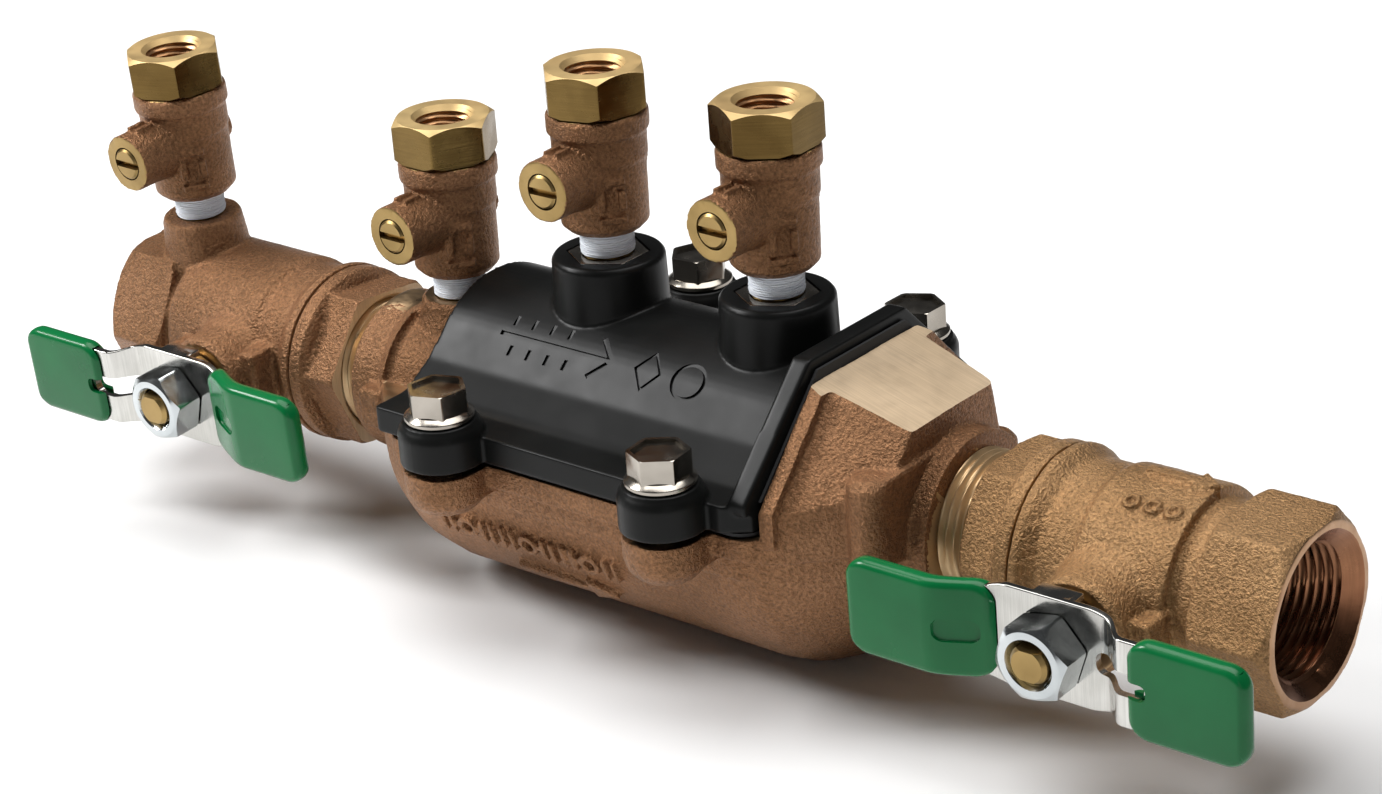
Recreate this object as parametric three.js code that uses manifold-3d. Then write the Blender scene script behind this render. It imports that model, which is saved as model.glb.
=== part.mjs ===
// Double check backflow preventer for a 3/4 inch line, with two shut-off ball valves and four test cocks.
// Millimetres, +Z up, +X along the flow, origin at the centre of the inlet face.
import * as THREE from 'three';
import { ConvexGeometry } from 'three/addons/geometries/ConvexGeometry.js';
import { mergeVertices } from 'three/addons/utils/BufferGeometryUtils.js';
import Module from 'manifold-3d';

const wasm = await Module();
wasm.setup();

// ---- driving dimensions ----------------------------------------------------------------------
const LENGTH = 307.5;              // inlet face to outlet face
const GAP = 0.3;                   // clearance kept between neighbouring pieces
const INLET_TILT = 0.06;           // inlet valve turned on its thread, radians, top toward -Y
const OUTLET_TILT = 0.024;
const OUTLET_RISE = 1.8;           // outlet bore above the inlet bore

const INLET_STEM_X = 40.2;         // inlet face to the axis of the inlet valve's stem
const OUTLET_STEM_X = 35.1;        // outlet face to the axis of the outlet valve's stem
const HEX_ACROSS_FLATS = 35;       // female end of each valve
const HEX_LENGTH = 17.2;
const HEX_TURN = Math.PI / 6;      // corners 30 degrees off vertical, so flats face up and down
const PORT_BEVEL_R = 15.8;
const PORT_THREAD_R = 12.9;        // 3/4 inch pipe thread, minor radius
const PORT_DEPTH = 17.5;
const WATERWAY_R = 9.4;
const VALVE_R = 19.3;              // barrel round the ball
const VALVE_WAIST_R = 18.3;
const SEAM_R = 20.2;
const STEM_TO_SEAM = 20.2;
const STEM_TO_ADAPTER_END = 32.7;
const CHAMBER_R = 14.9;
const ADAPTER_HEX_AF = 33.4;
const ADAPTER_HEX_LENGTH = 8.5;
const INLET_ADAPTER_TURN = 0.888;  // where each adapter's hexagon came to rest, radians
const OUTLET_ADAPTER_TURN = 0;
const BALL_R = 13;
const STEM_R = 4;
const BOSS_TOP = 27;               // stem boss, from the pipe axis
const PLATE_BACK = 33.4;           // back of the handle plate, from the pipe axis
const PLATE_THICK = 1.6;
const WING_STEP = 4.4;             // wings stand this far in front of the middle of the handle
const HANDLE_HALF_HEIGHT = 9;
const HANDLE_LONG_END = 43.8;       // toward the female end of the valve
const HANDLE_SHORT_END = 42.6;
const GRIP_START_LONG = 19;
const GRIP_START_SHORT = 11.5;
const GRIP_SKIN = 1.1;
const NUT_AF = 14;
const NUT_FACE = 42.4;

const BODY_OFFSET = -2.8;          // the body's own zero plane, from the inlet face
const BODY_START = 80.6;           // end faces of the main body casting, in the body's own frame
const BODY_END = 235;
const NECK_R = 14.6;
const NECK_REACH = 8;              // thread hidden inside each valve adapter
const INLET_THREAD = 4.9;          // thread left showing at each end of the casting
const OUTLET_THREAD = 7.5;
const COLLAR_R = 18;
const TUB_R = 35;
const TUB_WALL = 4;
const DECK = 5.6;                  // machined top of the body casting
const COVER_BOTTOM = 6.9;
const COVER_FLANGE_TOP = 12.6;
const COVER_HALF_WIDTH = 39.3;
const COVER_START = 110.2;
const COVER_END = 207.8;
const ARCH_R = 23.5;
const ARCH_CENTRE_Z = 6.5;
const COVER_WALL = 3.6;
const END_FLANGE_THICK = 4.2;
const END_FLANGE_TOP = 35.4;
const END_FLANGE_HALF_TOP = 15.6;
const END_FLANGE_HALF_BOTTOM = 38.2;
const POST_R = 11.9;
const POST_TOP = 39.8;
const INSERT_AF = 15;
const INSERT_DEPTH = 7;
const BOLT_X = [132, 190.5];
const BOLT_Y = 41.9;
const BOLT_SEAT_Z = 16.4;
const BOLT_BOSS_R = 8.9;
const BOLT_SHANK_R = 3;
const PAD_START = 209.2;           // sloping machined pad at the outlet end of the body
const PAD_END = 230;
const PAD_HIGH = 31;
const PAD_LOW = 24.7;

const COCK_HEX_AF = 19.9;
const COCK_HEIGHT = 40.5;
const COCK_STEM_HEIGHT = 18.8;
const COCK_STEM_REACH = 18.2;
const COCK_NIPPLE_R = 5.1;
const COCK_SIDE = 1;               // test ports stand this far toward +Y of the pipe axis
const COCKS = [
  { tag: '1', x: 17.5 - INLET_STEM_X, y: 0, z: 26.3, turn: -0.028, hexTurn: 0.36 },
  { tag: '2', x: 98.7, y: COCK_SIDE, z: 21.6, turn: -0.028, hexTurn: 0 },
  { tag: '3', x: 142.8, y: COCK_SIDE, z: POST_TOP, turn: 0, hexTurn: 0.25 },
  { tag: '4', x: 187.2, y: COCK_SIDE, z: POST_TOP, turn: -0.028, hexTurn: 0.6 },
];

const CHECK_WEBS = [128, 172];     // wall each check module is mounted in
const WEB_HALF = 2.5;

// ---- materials --------------------------------------------------------------------------------
const finishes = {
  bronze: [0x9a6a45, 0.55, 0.8],
  brass: [0xb08d57, 0.35, 0.9],
  polymer: [0x1b1c1e, 0.45, 0.0],
  vinyl: [0x0b7a35, 0.28, 0.0],
  zinc: [0xb9bcbf, 0.3, 0.9],
  stainless: [0xc2bdb4, 0.3, 0.95],
  rubber: [0x222222, 0.8, 0.0],
  tape: [0xe9edf0, 0.7, 0.0],
  acetal: [0xdfe1dc, 0.5, 0.0],
};

function material(kind) {
  const [color, roughness, metalness] = finishes[kind];
  return new THREE.MeshStandardMaterial({ color, roughness, metalness });
}

// ---- solids -----------------------------------------------------------------------------------
function signedVolume(vertices, triangles) {
  let sum = 0;
  const a = new THREE.Vector3();
  const b = new THREE.Vector3();
  const c = new THREE.Vector3();
  for (let i = 0; i < triangles.length; i += 3) {
    a.fromArray(vertices, triangles[i] * 3);
    b.fromArray(vertices, triangles[i + 1] * 3);
    c.fromArray(vertices, triangles[i + 2] * 3);
    sum += a.dot(b.cross(c));
  }
  return sum / 6;
}

function solid(geometry) {
  geometry.deleteAttribute('normal');
  geometry.deleteAttribute('uv');
  const merged = mergeVertices(geometry, 1e-4);
  const index = merged.index.array;
  const triangles = [];
  for (let i = 0; i < index.length; i += 3) {
    const [a, b, c] = [index[i], index[i + 1], index[i + 2]];
    if (a !== b && b !== c && a !== c) {
      triangles.push(a, b, c);
    }
  }
  const vertices = Float32Array.from(merged.attributes.position.array);
  if (signedVolume(vertices, triangles) < 0) {
    triangles.reverse();
  }
  const triVerts = Uint32Array.from(triangles);
  return new wasm.Manifold(new wasm.Mesh({ numProp: 3, vertProperties: vertices, triVerts }));
}

function join(first, ...others) {
  return others.reduce((all, one) => all.add(one), first);
}

function cut(first, ...others) {
  return others.reduce((all, one) => all.subtract(one), first);
}

// Turned shapes: each profile is a list of [distance along the axis, radius], closed back to its start.
function turned(profile, segments = 24) {
  const points = profile.map(([along, radius]) => new THREE.Vector2(radius, along));
  points.push(points[0].clone());
  return new THREE.LatheGeometry(points, segments);
}

const turnedX = (profile, segments) => solid(turned(profile, segments).rotateZ(-Math.PI / 2));
const turnedY = (profile, segments) => solid(turned(profile, segments));
const turnedZ = (profile, segments) => solid(turned(profile, segments).rotateX(Math.PI / 2));

const rod = (from, to, radius) => [[from, 0], [from, radius], [to, radius], [to, 0]];
const tube = (from, to, inner, outer) => [[from, inner], [from, outer], [to, outer], [to, inner]];

function hull(points) {
  return solid(new ConvexGeometry(points.map(([x, y, z]) => new THREE.Vector3(x, y, z))));
}

function box(x0, x1, y0, y1, z0, z1) {
  const geometry = new THREE.BoxGeometry(x1 - x0, y1 - y0, z1 - z0);
  return solid(geometry.translate((x0 + x1) / 2, (y0 + y1) / 2, (z0 + z1) / 2));
}

function shapeOf(points) {
  return new THREE.Shape(points.map(([x, y]) => new THREE.Vector2(x, y)));
}

// Plates drawn in the XY plane and rising along Z.
function plateZ(shape, z0, z1) {
  const options = { depth: z1 - z0, bevelEnabled: false, curveSegments: 3 };
  return solid(new THREE.ExtrudeGeometry(shape, options).translate(0, 0, z0));
}

// Plates drawn in the YZ plane and running along X.
function plateX(shape, x0, x1) {
  const options = { depth: x1 - x0, bevelEnabled: false, curveSegments: 3 };
  const geometry = new THREE.ExtrudeGeometry(shape, options);
  const toYz = new THREE.Matrix4().set(0, 0, 1, x0, 1, 0, 0, 0, 0, 1, 0, 0, 0, 0, 0, 1);
  return solid(geometry.applyMatrix4(toYz));
}

// Plates drawn in the XZ plane and running along Y.
function plateY(shape, y0, y1) {
  const options = { depth: y1 - y0, bevelEnabled: false, curveSegments: 3 };
  const geometry = new THREE.ExtrudeGeometry(shape, options);
  const toXz = new THREE.Matrix4().set(1, 0, 0, 0, 0, 0, -1, y1, 0, 1, 0, 0, 0, 0, 0, 1);
  return solid(geometry.applyMatrix4(toXz));
}

function hexagon(acrossFlats, turn = 0) {
  const radius = acrossFlats / Math.sqrt(3);
  const corners = [];
  for (let i = 0; i < 6; i += 1) {
    const angle = turn + (i * Math.PI) / 3;
    corners.push([radius * Math.cos(angle), radius * Math.sin(angle)]);
  }
  return shapeOf(corners);
}

function roundedRect(x0, x1, y0, y1, r) {
  const shape = new THREE.Shape();
  shape.moveTo(x0 + r, y0);
  shape.lineTo(x1 - r, y0);
  shape.absarc(x1 - r, y0 + r, r, -Math.PI / 2, 0);
  shape.lineTo(x1, y1 - r);
  shape.absarc(x1 - r, y1 - r, r, 0, Math.PI / 2);
  shape.lineTo(x0 + r, y1);
  shape.absarc(x0 + r, y1 - r, r, Math.PI / 2, Math.PI);
  shape.lineTo(x0, y0 + r);
  shape.absarc(x0 + r, y0 + r, r, Math.PI, 1.5 * Math.PI);
  return shape;
}

function named(name, body, kind) {
  const data = body.getMesh();
  const geometry = new THREE.BufferGeometry();
  const positions = new Float32Array(data.vertProperties);
  geometry.setAttribute('position', new THREE.BufferAttribute(positions, 3));
  geometry.setIndex(new THREE.BufferAttribute(new Uint32Array(data.triVerts), 1));
  geometry.computeVertexNormals();
  const mesh = new THREE.Mesh(geometry, material(kind));
  mesh.name = name;
  return mesh;
}

// ---- ball valve -------------------------------------------------------------------------------
// Built round its stem: the stem axis is Y, the female end points to -X and the body casting to +X.
function valveBody(face, cockX) {
  const hexEnd = face + HEX_LENGTH;
  const hex = plateX(hexagon(HEX_ACROSS_FLATS, HEX_TURN - Math.PI / 2), face, hexEnd);
  const chamfer = turnedX([
    [face, 0], [face, 17.6], [face + 3.2, 20.8], [hexEnd - 1.4, 20.8], [hexEnd, 18.6], [hexEnd, 0],
  ]);
  const barrelStart = face > -40 ? hexEnd + 5 : hexEnd + 3;
  const barrel = turnedX([
    [hexEnd - 2, 0], [hexEnd - 2, 17.4], [barrelStart, 17.4], [barrelStart, VALVE_R - 0.6],
    [barrelStart + 1, VALVE_R], [6.5, VALVE_R], [7.6, VALVE_WAIST_R], [15.5, VALVE_WAIST_R],
    [18, SEAM_R], [STEM_TO_SEAM - GAP, SEAM_R], [STEM_TO_SEAM - GAP, 0],
  ]);
  const boss = turnedY([
    [-BOSS_TOP, 0], [-BOSS_TOP, 7.4], [-BOSS_TOP + 1.2, 8], [-16, 9.5], [-12, 9.5], [-12, 0],
  ], 14);
  const stopLug = box(-13.5, -8.6, -24.5, -14, -3, 5);
  let outer = join(hex.intersect(chamfer), barrel, boss, stopLug);
  const cuts = [
    turnedX([
      [face - 1, 0], [face - 1, PORT_BEVEL_R + 1], [face + 2.6, PORT_THREAD_R],
      [face + PORT_DEPTH, PORT_THREAD_R - 0.5], [face + PORT_DEPTH, WATERWAY_R],
      [-13.8, WATERWAY_R], [-13.8, CHAMBER_R], [STEM_TO_SEAM + 1, CHAMBER_R], [STEM_TO_SEAM + 1, 0],
    ]),
    turnedY(rod(-BOSS_TOP - 1, -10, STEM_R + GAP), 16),
    turnedY(rod(-BOSS_TOP - 1, -20.5, 5.8), 16),
  ];
  if (cockX !== null) {
    const base = COCKS[0].z;
    const riser = turnedZ([
      [12, 0], [12, 10.6], [base - 5, 8.6], [base - 1, 8.2], [base, 7.4], [base, 0],
    ], 14);
    outer = join(outer, riser.translate([cockX, 0, 0]));
    cuts.push(turnedZ(rod(5, base + 1, COCK_NIPPLE_R + 0.5), 16).translate([cockX, 0, 0]));
  }
  return cut(outer, ...cuts);
}

function valveAdapter(turn) {
  const hexStart = STEM_TO_ADAPTER_END - ADAPTER_HEX_LENGTH;
  const end = STEM_TO_ADAPTER_END;
  const hex = plateX(hexagon(ADAPTER_HEX_AF, turn), hexStart - 1, end);
  const rounding = turnedX([
    [hexStart - 1, 0], [hexStart - 1, 18.4], [hexStart + 1, 20], [end - 2, 20], [end, 17], [end, 0],
  ]);
  const collar = turnedX(rod(STEM_TO_SEAM, hexStart, SEAM_R - 0.3));
  const spigot = turnedX(rod(13.4, STEM_TO_SEAM + 1, CHAMBER_R - GAP));
  const bore = turnedX([
    [12, 0], [12, WATERWAY_R], [end - NECK_REACH - 1, WATERWAY_R], [end - NECK_REACH - 1, NECK_R + GAP],
    [end - 1, NECK_R + GAP], [end + 1, NECK_R + GAP + 1.4], [end + 1, 0],
  ]);
  return cut(join(hex.intersect(rounding), collar, spigot), bore);
}

function ballSeat(side) {
  const [from, to] = side < 0 ? [-13.5, -8.6] : [8.6, 13.1];
  const ring = turnedX(tube(from, to, 9.5, CHAMBER_R - GAP));
  const sphere = solid(new THREE.SphereGeometry(BALL_R + GAP, 20, 12));
  return cut(ring, sphere);
}

function valveBall() {
  const sphere = solid(new THREE.SphereGeometry(BALL_R, 20, 12));
  const port = turnedX(rod(-15, 15, WATERWAY_R));
  const slot = box(-4.6, 4.6, -14, -10.2, -1.9, 1.9);
  return cut(sphere, port, slot);
}

function valveStem() {
  const shaft = turnedY([
    [-NUT_FACE - 0.6, 0], [-NUT_FACE - 0.6, STEM_R - 0.7], [-NUT_FACE + 0.2, STEM_R],
    [-13.4, STEM_R], [-13.4, 0],
  ], 16);
  const tang = box(-3.2, 3.2, -14.4, -10.6, -1.5, 1.5);
  const flats = join(
    box(-5, 5, -NUT_FACE - 2, -NUT_FACE + 2.4, 2.9, 5),
    box(-5, 5, -NUT_FACE - 2, -NUT_FACE + 2.4, -5, -2.9),
  );
  return cut(join(shaft, tang), flats);
}

function packingGland() {
  const ring = turnedY([
    [-31, STEM_R + GAP], [-31, 6.2], [-30.4, 6.8], [-27.4, 6.8], [-27.4, 5.5], [-21, 5.5],
    [-21, STEM_R + GAP],
  ], 18);
  return ring;
}

// Edge view of the handle plate from above: flat round the stem, with both ends stepped forward.
function handleStrip(from, to, back, front) {
  const step = -WING_STEP;
  const [a, b, c, d] = [-17, -11.8, 12.6, 18];
  const bend = (x) => {
    if (x <= a || x >= d) {
      return step;
    }
    if (x < b) {
      return (step * (b - x)) / (b - a);
    }
    return x > c ? (step * (x - c)) / (d - c) : 0;
  };
  const stops = [from, ...[a, b, c, d].filter((x) => x > from && x < to), to];
  const near = stops.map((x) => [x, -PLATE_BACK + back + bend(x)]);
  const far = stops.map((x) => [x, -PLATE_BACK - PLATE_THICK - front + bend(x)]).reverse();
  return shapeOf([...near, ...far]);
}

function handlePlate() {
  const strip = plateZ(handleStrip(-HANDLE_LONG_END + 2, HANDLE_SHORT_END - 2, 0, 0), -12, 12);
  const outline = new THREE.Shape();
  const half = HANDLE_HALF_HEIGHT - 0.2;
  outline.moveTo(-HANDLE_LONG_END + 4, -half + 1);
  outline.lineTo(-20, -half);
  outline.lineTo(-9, -10.4);
  outline.lineTo(6, -10.4);
  outline.lineTo(11, -half);
  outline.lineTo(HANDLE_SHORT_END - 4, -half + 1);
  outline.lineTo(HANDLE_SHORT_END - 2, -half + 3);
  outline.lineTo(HANDLE_SHORT_END - 2, half - 3);
  outline.lineTo(HANDLE_SHORT_END - 4, half - 1);
  outline.lineTo(11, half);
  outline.lineTo(6, 10.4);
  outline.lineTo(-9, 10.4);
  outline.lineTo(-20, half);
  outline.lineTo(-HANDLE_LONG_END + 4, half - 1);
  outline.lineTo(-HANDLE_LONG_END + 2, half - 3);
  outline.lineTo(-HANDLE_LONG_END + 2, -half + 3);
  const trimmed = strip.intersect(plateY(outline, -60, -20));
  const tabs = join(
    box(-4.5, 4.5, -PLATE_BACK - 0.8, -PLATE_BACK + 3.4, 8.8, 10.4),
    box(-4.5, 4.5, -PLATE_BACK - 0.8, -PLATE_BACK + 3.4, -10.4, -8.8),
  );
  const slot = plateY(roundedRect(-22.5, -9.6, -2.3, 2.3, 2.2), -60, -20);
  return cut(join(trimmed, tabs), turnedY(rod(-60, -20, STEM_R + GAP), 16), slot);
}

function grip(from, to) {
  const skin = plateZ(handleStrip(from, to, GRIP_SKIN, GRIP_SKIN), -12, 12);
  const half = HANDLE_HALF_HEIGHT + 0.9;
  const cover = skin.intersect(plateY(roundedRect(from, to, -half, half, 4.2), -60, -20));
  const reach = from < 0 ? from + 2 - GAP : to - 2 + GAP;
  const hollow = plateZ(
    from < 0 ? handleStrip(reach, to + 1, GAP, GAP) : handleStrip(from - 1, reach, GAP, GAP), -9.1, 9.1,
  );
  return cut(cover, hollow);
}

function handleNut() {
  const back = -PLATE_BACK - PLATE_THICK - GAP;
  const hex = plateY(hexagon(NUT_AF, 0.2), -NUT_FACE, back);
  const rounding = turnedY([
    [-NUT_FACE, 0], [-NUT_FACE, 6.7], [-NUT_FACE + 1, 8.3], [back, 8.3], [back, 0],
  ], 20);
  return cut(hex.intersect(rounding), turnedY(rod(-60, -20, STEM_R + GAP), 16));
}

function ballValve(prefix, face, cockX, adapterTurn) {
  const valve = new THREE.Group();
  valve.add(
    named(`${prefix}_valve_body`, valveBody(face, cockX), 'bronze'),
    named(`${prefix}_valve_adapter`, valveAdapter(adapterTurn), 'bronze'),
    named(`${prefix}_ball_seat_a`, ballSeat(-1), 'acetal'),
    named(`${prefix}_ball_seat_b`, ballSeat(1), 'acetal'),
    named(`${prefix}_ball`, valveBall(), 'brass'),
    named(`${prefix}_valve_stem`, valveStem(), 'brass'),
    named(`${prefix}_packing_gland`, packingGland(), 'brass'),
    named(`${prefix}_handle_plate`, handlePlate(), 'stainless'),
    named(`${prefix}_grip_long`, grip(-HANDLE_LONG_END, -GRIP_START_LONG), 'vinyl'),
    named(`${prefix}_grip_short`, grip(GRIP_START_SHORT, HANDLE_SHORT_END), 'vinyl'),
    named(`${prefix}_handle_nut`, handleNut(), 'zinc'),
  );
  return valve;
}

// ---- test cock --------------------------------------------------------------------------------
// Stands on z = 0, threaded nipple below, slotted stem facing -Y.
function cockBody() {
  const barrel = turnedZ([
    [-7, 0], [-7, COCK_NIPPLE_R - 0.6], [-6, COCK_NIPPLE_R - 0.2], [5.4, COCK_NIPPLE_R], [5.6, 7.6],
    [7, 9.3], [20.5, 9.4], [21.3, 9.9], [26.2, 9.9], [27, 10.6], [30.6, 10.6], [31.2, 10.1], [31.2, 0],
  ], 16);
  const sideBoss = turnedY([
    [-COCK_STEM_REACH, 0], [-COCK_STEM_REACH, 6.1], [-COCK_STEM_REACH + 0.7, 6.6], [-12, 6.6],
    [-6, 7.4], [0, 7.4], [0, 0],
  ], 14).translate([0, 0, COCK_STEM_HEIGHT]);
  const waterway = turnedZ([
    [-8, 0], [-8, 2.6], [24.6, 2.6], [24.6, 7.7], [32, 7.7], [32, 0],
  ], 14);
  const stemBore = turnedY(rod(-30, 5.2, 3.9), 14).translate([0, 0, COCK_STEM_HEIGHT]);
  return cut(join(barrel, sideBoss), waterway, stemBore);
}

function cockCap(hexTurn) {
  const hex = plateZ(hexagon(COCK_HEX_AF, hexTurn), 31.5, COCK_HEIGHT);
  const rounding = turnedZ([
    [31.5, 0], [31.5, 10.4], [32.4, 11.6], [COCK_HEIGHT - 1.3, 11.6], [COCK_HEIGHT, 9.9], [COCK_HEIGHT, 0],
  ], 20);
  const spigot = turnedZ(rod(25, 32, 7.4), 20);
  const socket = turnedZ([
    [24, 0], [24, 2.8], [29, 2.8], [29, 5.5], [COCK_HEIGHT - 1.3, 5.75], [COCK_HEIGHT + 0.1, 6.9],
    [COCK_HEIGHT + 1, 6.9], [COCK_HEIGHT + 1, 0],
  ], 20);
  return cut(join(hex.intersect(rounding), spigot), socket);
}

function cockStem() {
  const front = -COCK_STEM_REACH - 0.4;
  const plug = turnedY([
    [front, 0], [front, 3.2], [front + 0.4, 3.6], [4.6, 3.6], [4.6, 0],
  ], 16);
  const slot = box(-5, 5, front - 1, front + 1.3, -0.6, 0.6);
  const crossHole = turnedX(rod(-6, 6, 2.3), 12);
  return cut(plug, slot, crossHole).translate([0, 0, COCK_STEM_HEIGHT]);
}

function threadTape() {
  return turnedZ(tube(GAP, 5.1, COCK_NIPPLE_R + GAP, COCK_NIPPLE_R + 0.65), 18);
}

function testCock({ tag, x, y, z, turn, hexTurn }) {
  const cock = new THREE.Group();
  cock.add(
    named(`cock_${tag}_body`, cockBody(), 'bronze'),
    named(`cock_${tag}_cap`, cockCap(hexTurn), 'brass'),
    named(`cock_${tag}_stem`, cockStem(), 'brass'),
    named(`cock_${tag}_thread_tape`, threadTape(), 'tape'),
  );
  cock.position.set(x, y, z);
  cock.rotation.z = turn;
  return cock;
}

// ---- main body --------------------------------------------------------------------------------
function endTrapezoid(halfTop, halfBottom, top, bottom) {
  return shapeOf([[-halfBottom, bottom], [halfBottom, bottom], [halfTop, top], [-halfTop, top]]);
}

function mainBody() {
  const tubProfile = [
    [BODY_START, 0], [BODY_START, COLLAR_R], [BODY_START + 7, 17.4], [95, 22.5], [102, 29.4],
    [110, 34], [117, TUB_R], [200, TUB_R], [208, 34], [216, 28.6], [224, 21.4], [231, 17],
    [231, 0],
  ];
  const below = box(60, 250, -60, 60, -60, DECK);
  const tub = turnedX(tubProfile, 24).intersect(below);
  const threadStart = BODY_START - INLET_THREAD - NECK_REACH;
  const threadEnd = BODY_END + OUTLET_THREAD + NECK_REACH;
  const necks = join(
    turnedX([
      [threadStart, 0], [threadStart, NECK_R - 1], [threadStart + 1, NECK_R], [BODY_START, NECK_R],
      [BODY_START, COLLAR_R - 0.8],
      [BODY_START + 0.8, COLLAR_R], [BODY_START + 6, 17.4], [111.2, 17.4], [111.2, 0],
    ]),
    turnedX([
      [threadEnd, 0], [threadEnd, NECK_R - 1], [threadEnd - 1, NECK_R], [BODY_END, NECK_R],
      [BODY_END, COLLAR_R - 0.8],
      [BODY_END - 0.8, COLLAR_R], [222, COLLAR_R], [222, 0],
    ]).translate([0, 0, OUTLET_RISE]),
  );
  const inletCut = box(COVER_START - 1, 220, -60, 60, DECK, 60);
  const rimHalf = COVER_HALF_WIDTH - 1.2;
  const rim = plateZ(roundedRect(COVER_START, 210, -rimHalf, rimHalf, 6), 0.5, DECK);
  const ears = [];
  for (const x of BOLT_X) {
    for (const y of [-BOLT_Y, BOLT_Y]) {
      const ear = turnedZ([[-5, 0], [-5, 4.4], [-2.6, 7], [-0.6, 8.2], [DECK, 8.4], [DECK, 0]], 12);
      ears.push(ear.translate([x, y, 0]));
      ears.push(box(x - 8.2, x + 8.2, Math.min(y, y * 0.7), Math.max(y, y * 0.7), -0.8, DECK));
    }
  }
  const flangeShape = endTrapezoid(
    END_FLANGE_HALF_TOP - 0.6, END_FLANGE_HALF_BOTTOM - 2.6, END_FLANGE_TOP - 1.6, 9,
  );
  const endFlange = plateX(flangeShape, 209, 212.4);
  const blockPoints = [];
  for (const side of [-1, 1]) {
    blockPoints.push([PAD_START, side * 15.3, PAD_HIGH]);
    blockPoints.push([PAD_START, side * 36, 9.5], [PAD_START, side * 36, 0]);
    blockPoints.push([PAD_END, side * 13.1, PAD_LOW], [PAD_END, side * 13.1, 0]);
  }
  const block = hull(blockPoints);
  const lugs = join(
    turnedZ([[2, 0], [2, 4.4], [18.6, 4.4], [19.4, 3.8], [19.4, 0]], 12).translate([227, -24.2, 0]),
    box(223.6, 230.4, -24, -6, 2, 18.8),
    turnedZ([[0, 0], [0, 4], [11.2, 4], [12, 3.4], [12, 0]], 12).translate([227, 18.2, 0]),
    box(223.6, 230.4, 6, 18, 0, 11.4),
  );
  const cockBoss = turnedZ([[6, 0], [6, 9.6], [17, 8.9], [20.8, 8.5], [21.6, 7.7], [21.6, 0]], 14);
  const wrenchLug = box(85, 91, -20.4, -10, -4.5, 4.5);
  const outer = join(
    tub,
    necks.subtract(inletCut),
    rim, ...ears, endFlange, block, lugs, cockBoss.translate([COCKS[1].x, COCK_SIDE, 0]), wrenchLug,
    turnedX(rod(222, BODY_END, COLLAR_R)).translate([0, 0, OUTLET_RISE]),
  );
  const inner = TUB_R - TUB_WALL;
  const cavity = turnedX([
    [112, 0], [112, 17], [116, 28], [120, inner], [198, inner], [204, 29], [210, 20], [213, 14],
    [213, 0],
  ], 24).intersect(box(100, 230, -60, 60, -60, 18));
  const windows = join(
    plateZ(roundedRect(115, 205, -30.5, 30.5, 8), -2, 8),
    plateX(endTrapezoid(10, 26, 27.5, 2), 204, 213),
  );
  const bore = join(
    turnedX(rod(40, 200, WATERWAY_R + 0.8), 20),
    turnedX(rod(190, 270, WATERWAY_R + 0.8), 20).translate([0, 0, OUTLET_RISE]),
  );
  const hollow = join(cavity, windows, bore);
  const shell = cut(outer, hollow);
  const webs = [];
  for (const x of CHECK_WEBS) {
    const round = turnedX(rod(x - WEB_HALF, x + WEB_HALF, TUB_R - 2), 24);
    const disc = round.intersect(box(100, 220, -60, 60, -60, DECK));
    const top = turnedX(rod(x - WEB_HALF, x + WEB_HALF, 18.6), 24);
    webs.push(cut(join(disc, top), turnedX(rod(x - 5, x + 5, 12.4), 24)));
  }
  const holes = [];
  for (const x of BOLT_X) {
    for (const y of [-BOLT_Y, BOLT_Y]) {
      holes.push(turnedZ(rod(-4.2, 30, BOLT_SHANK_R + GAP), 12).translate([x, y, 0]));
    }
  }
  holes.push(turnedZ(rod(5, 30, COCK_NIPPLE_R + 0.5), 16).translate([COCKS[1].x, COCK_SIDE, 0]));
  return cut(join(shell, ...webs), ...holes);
}

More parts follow.
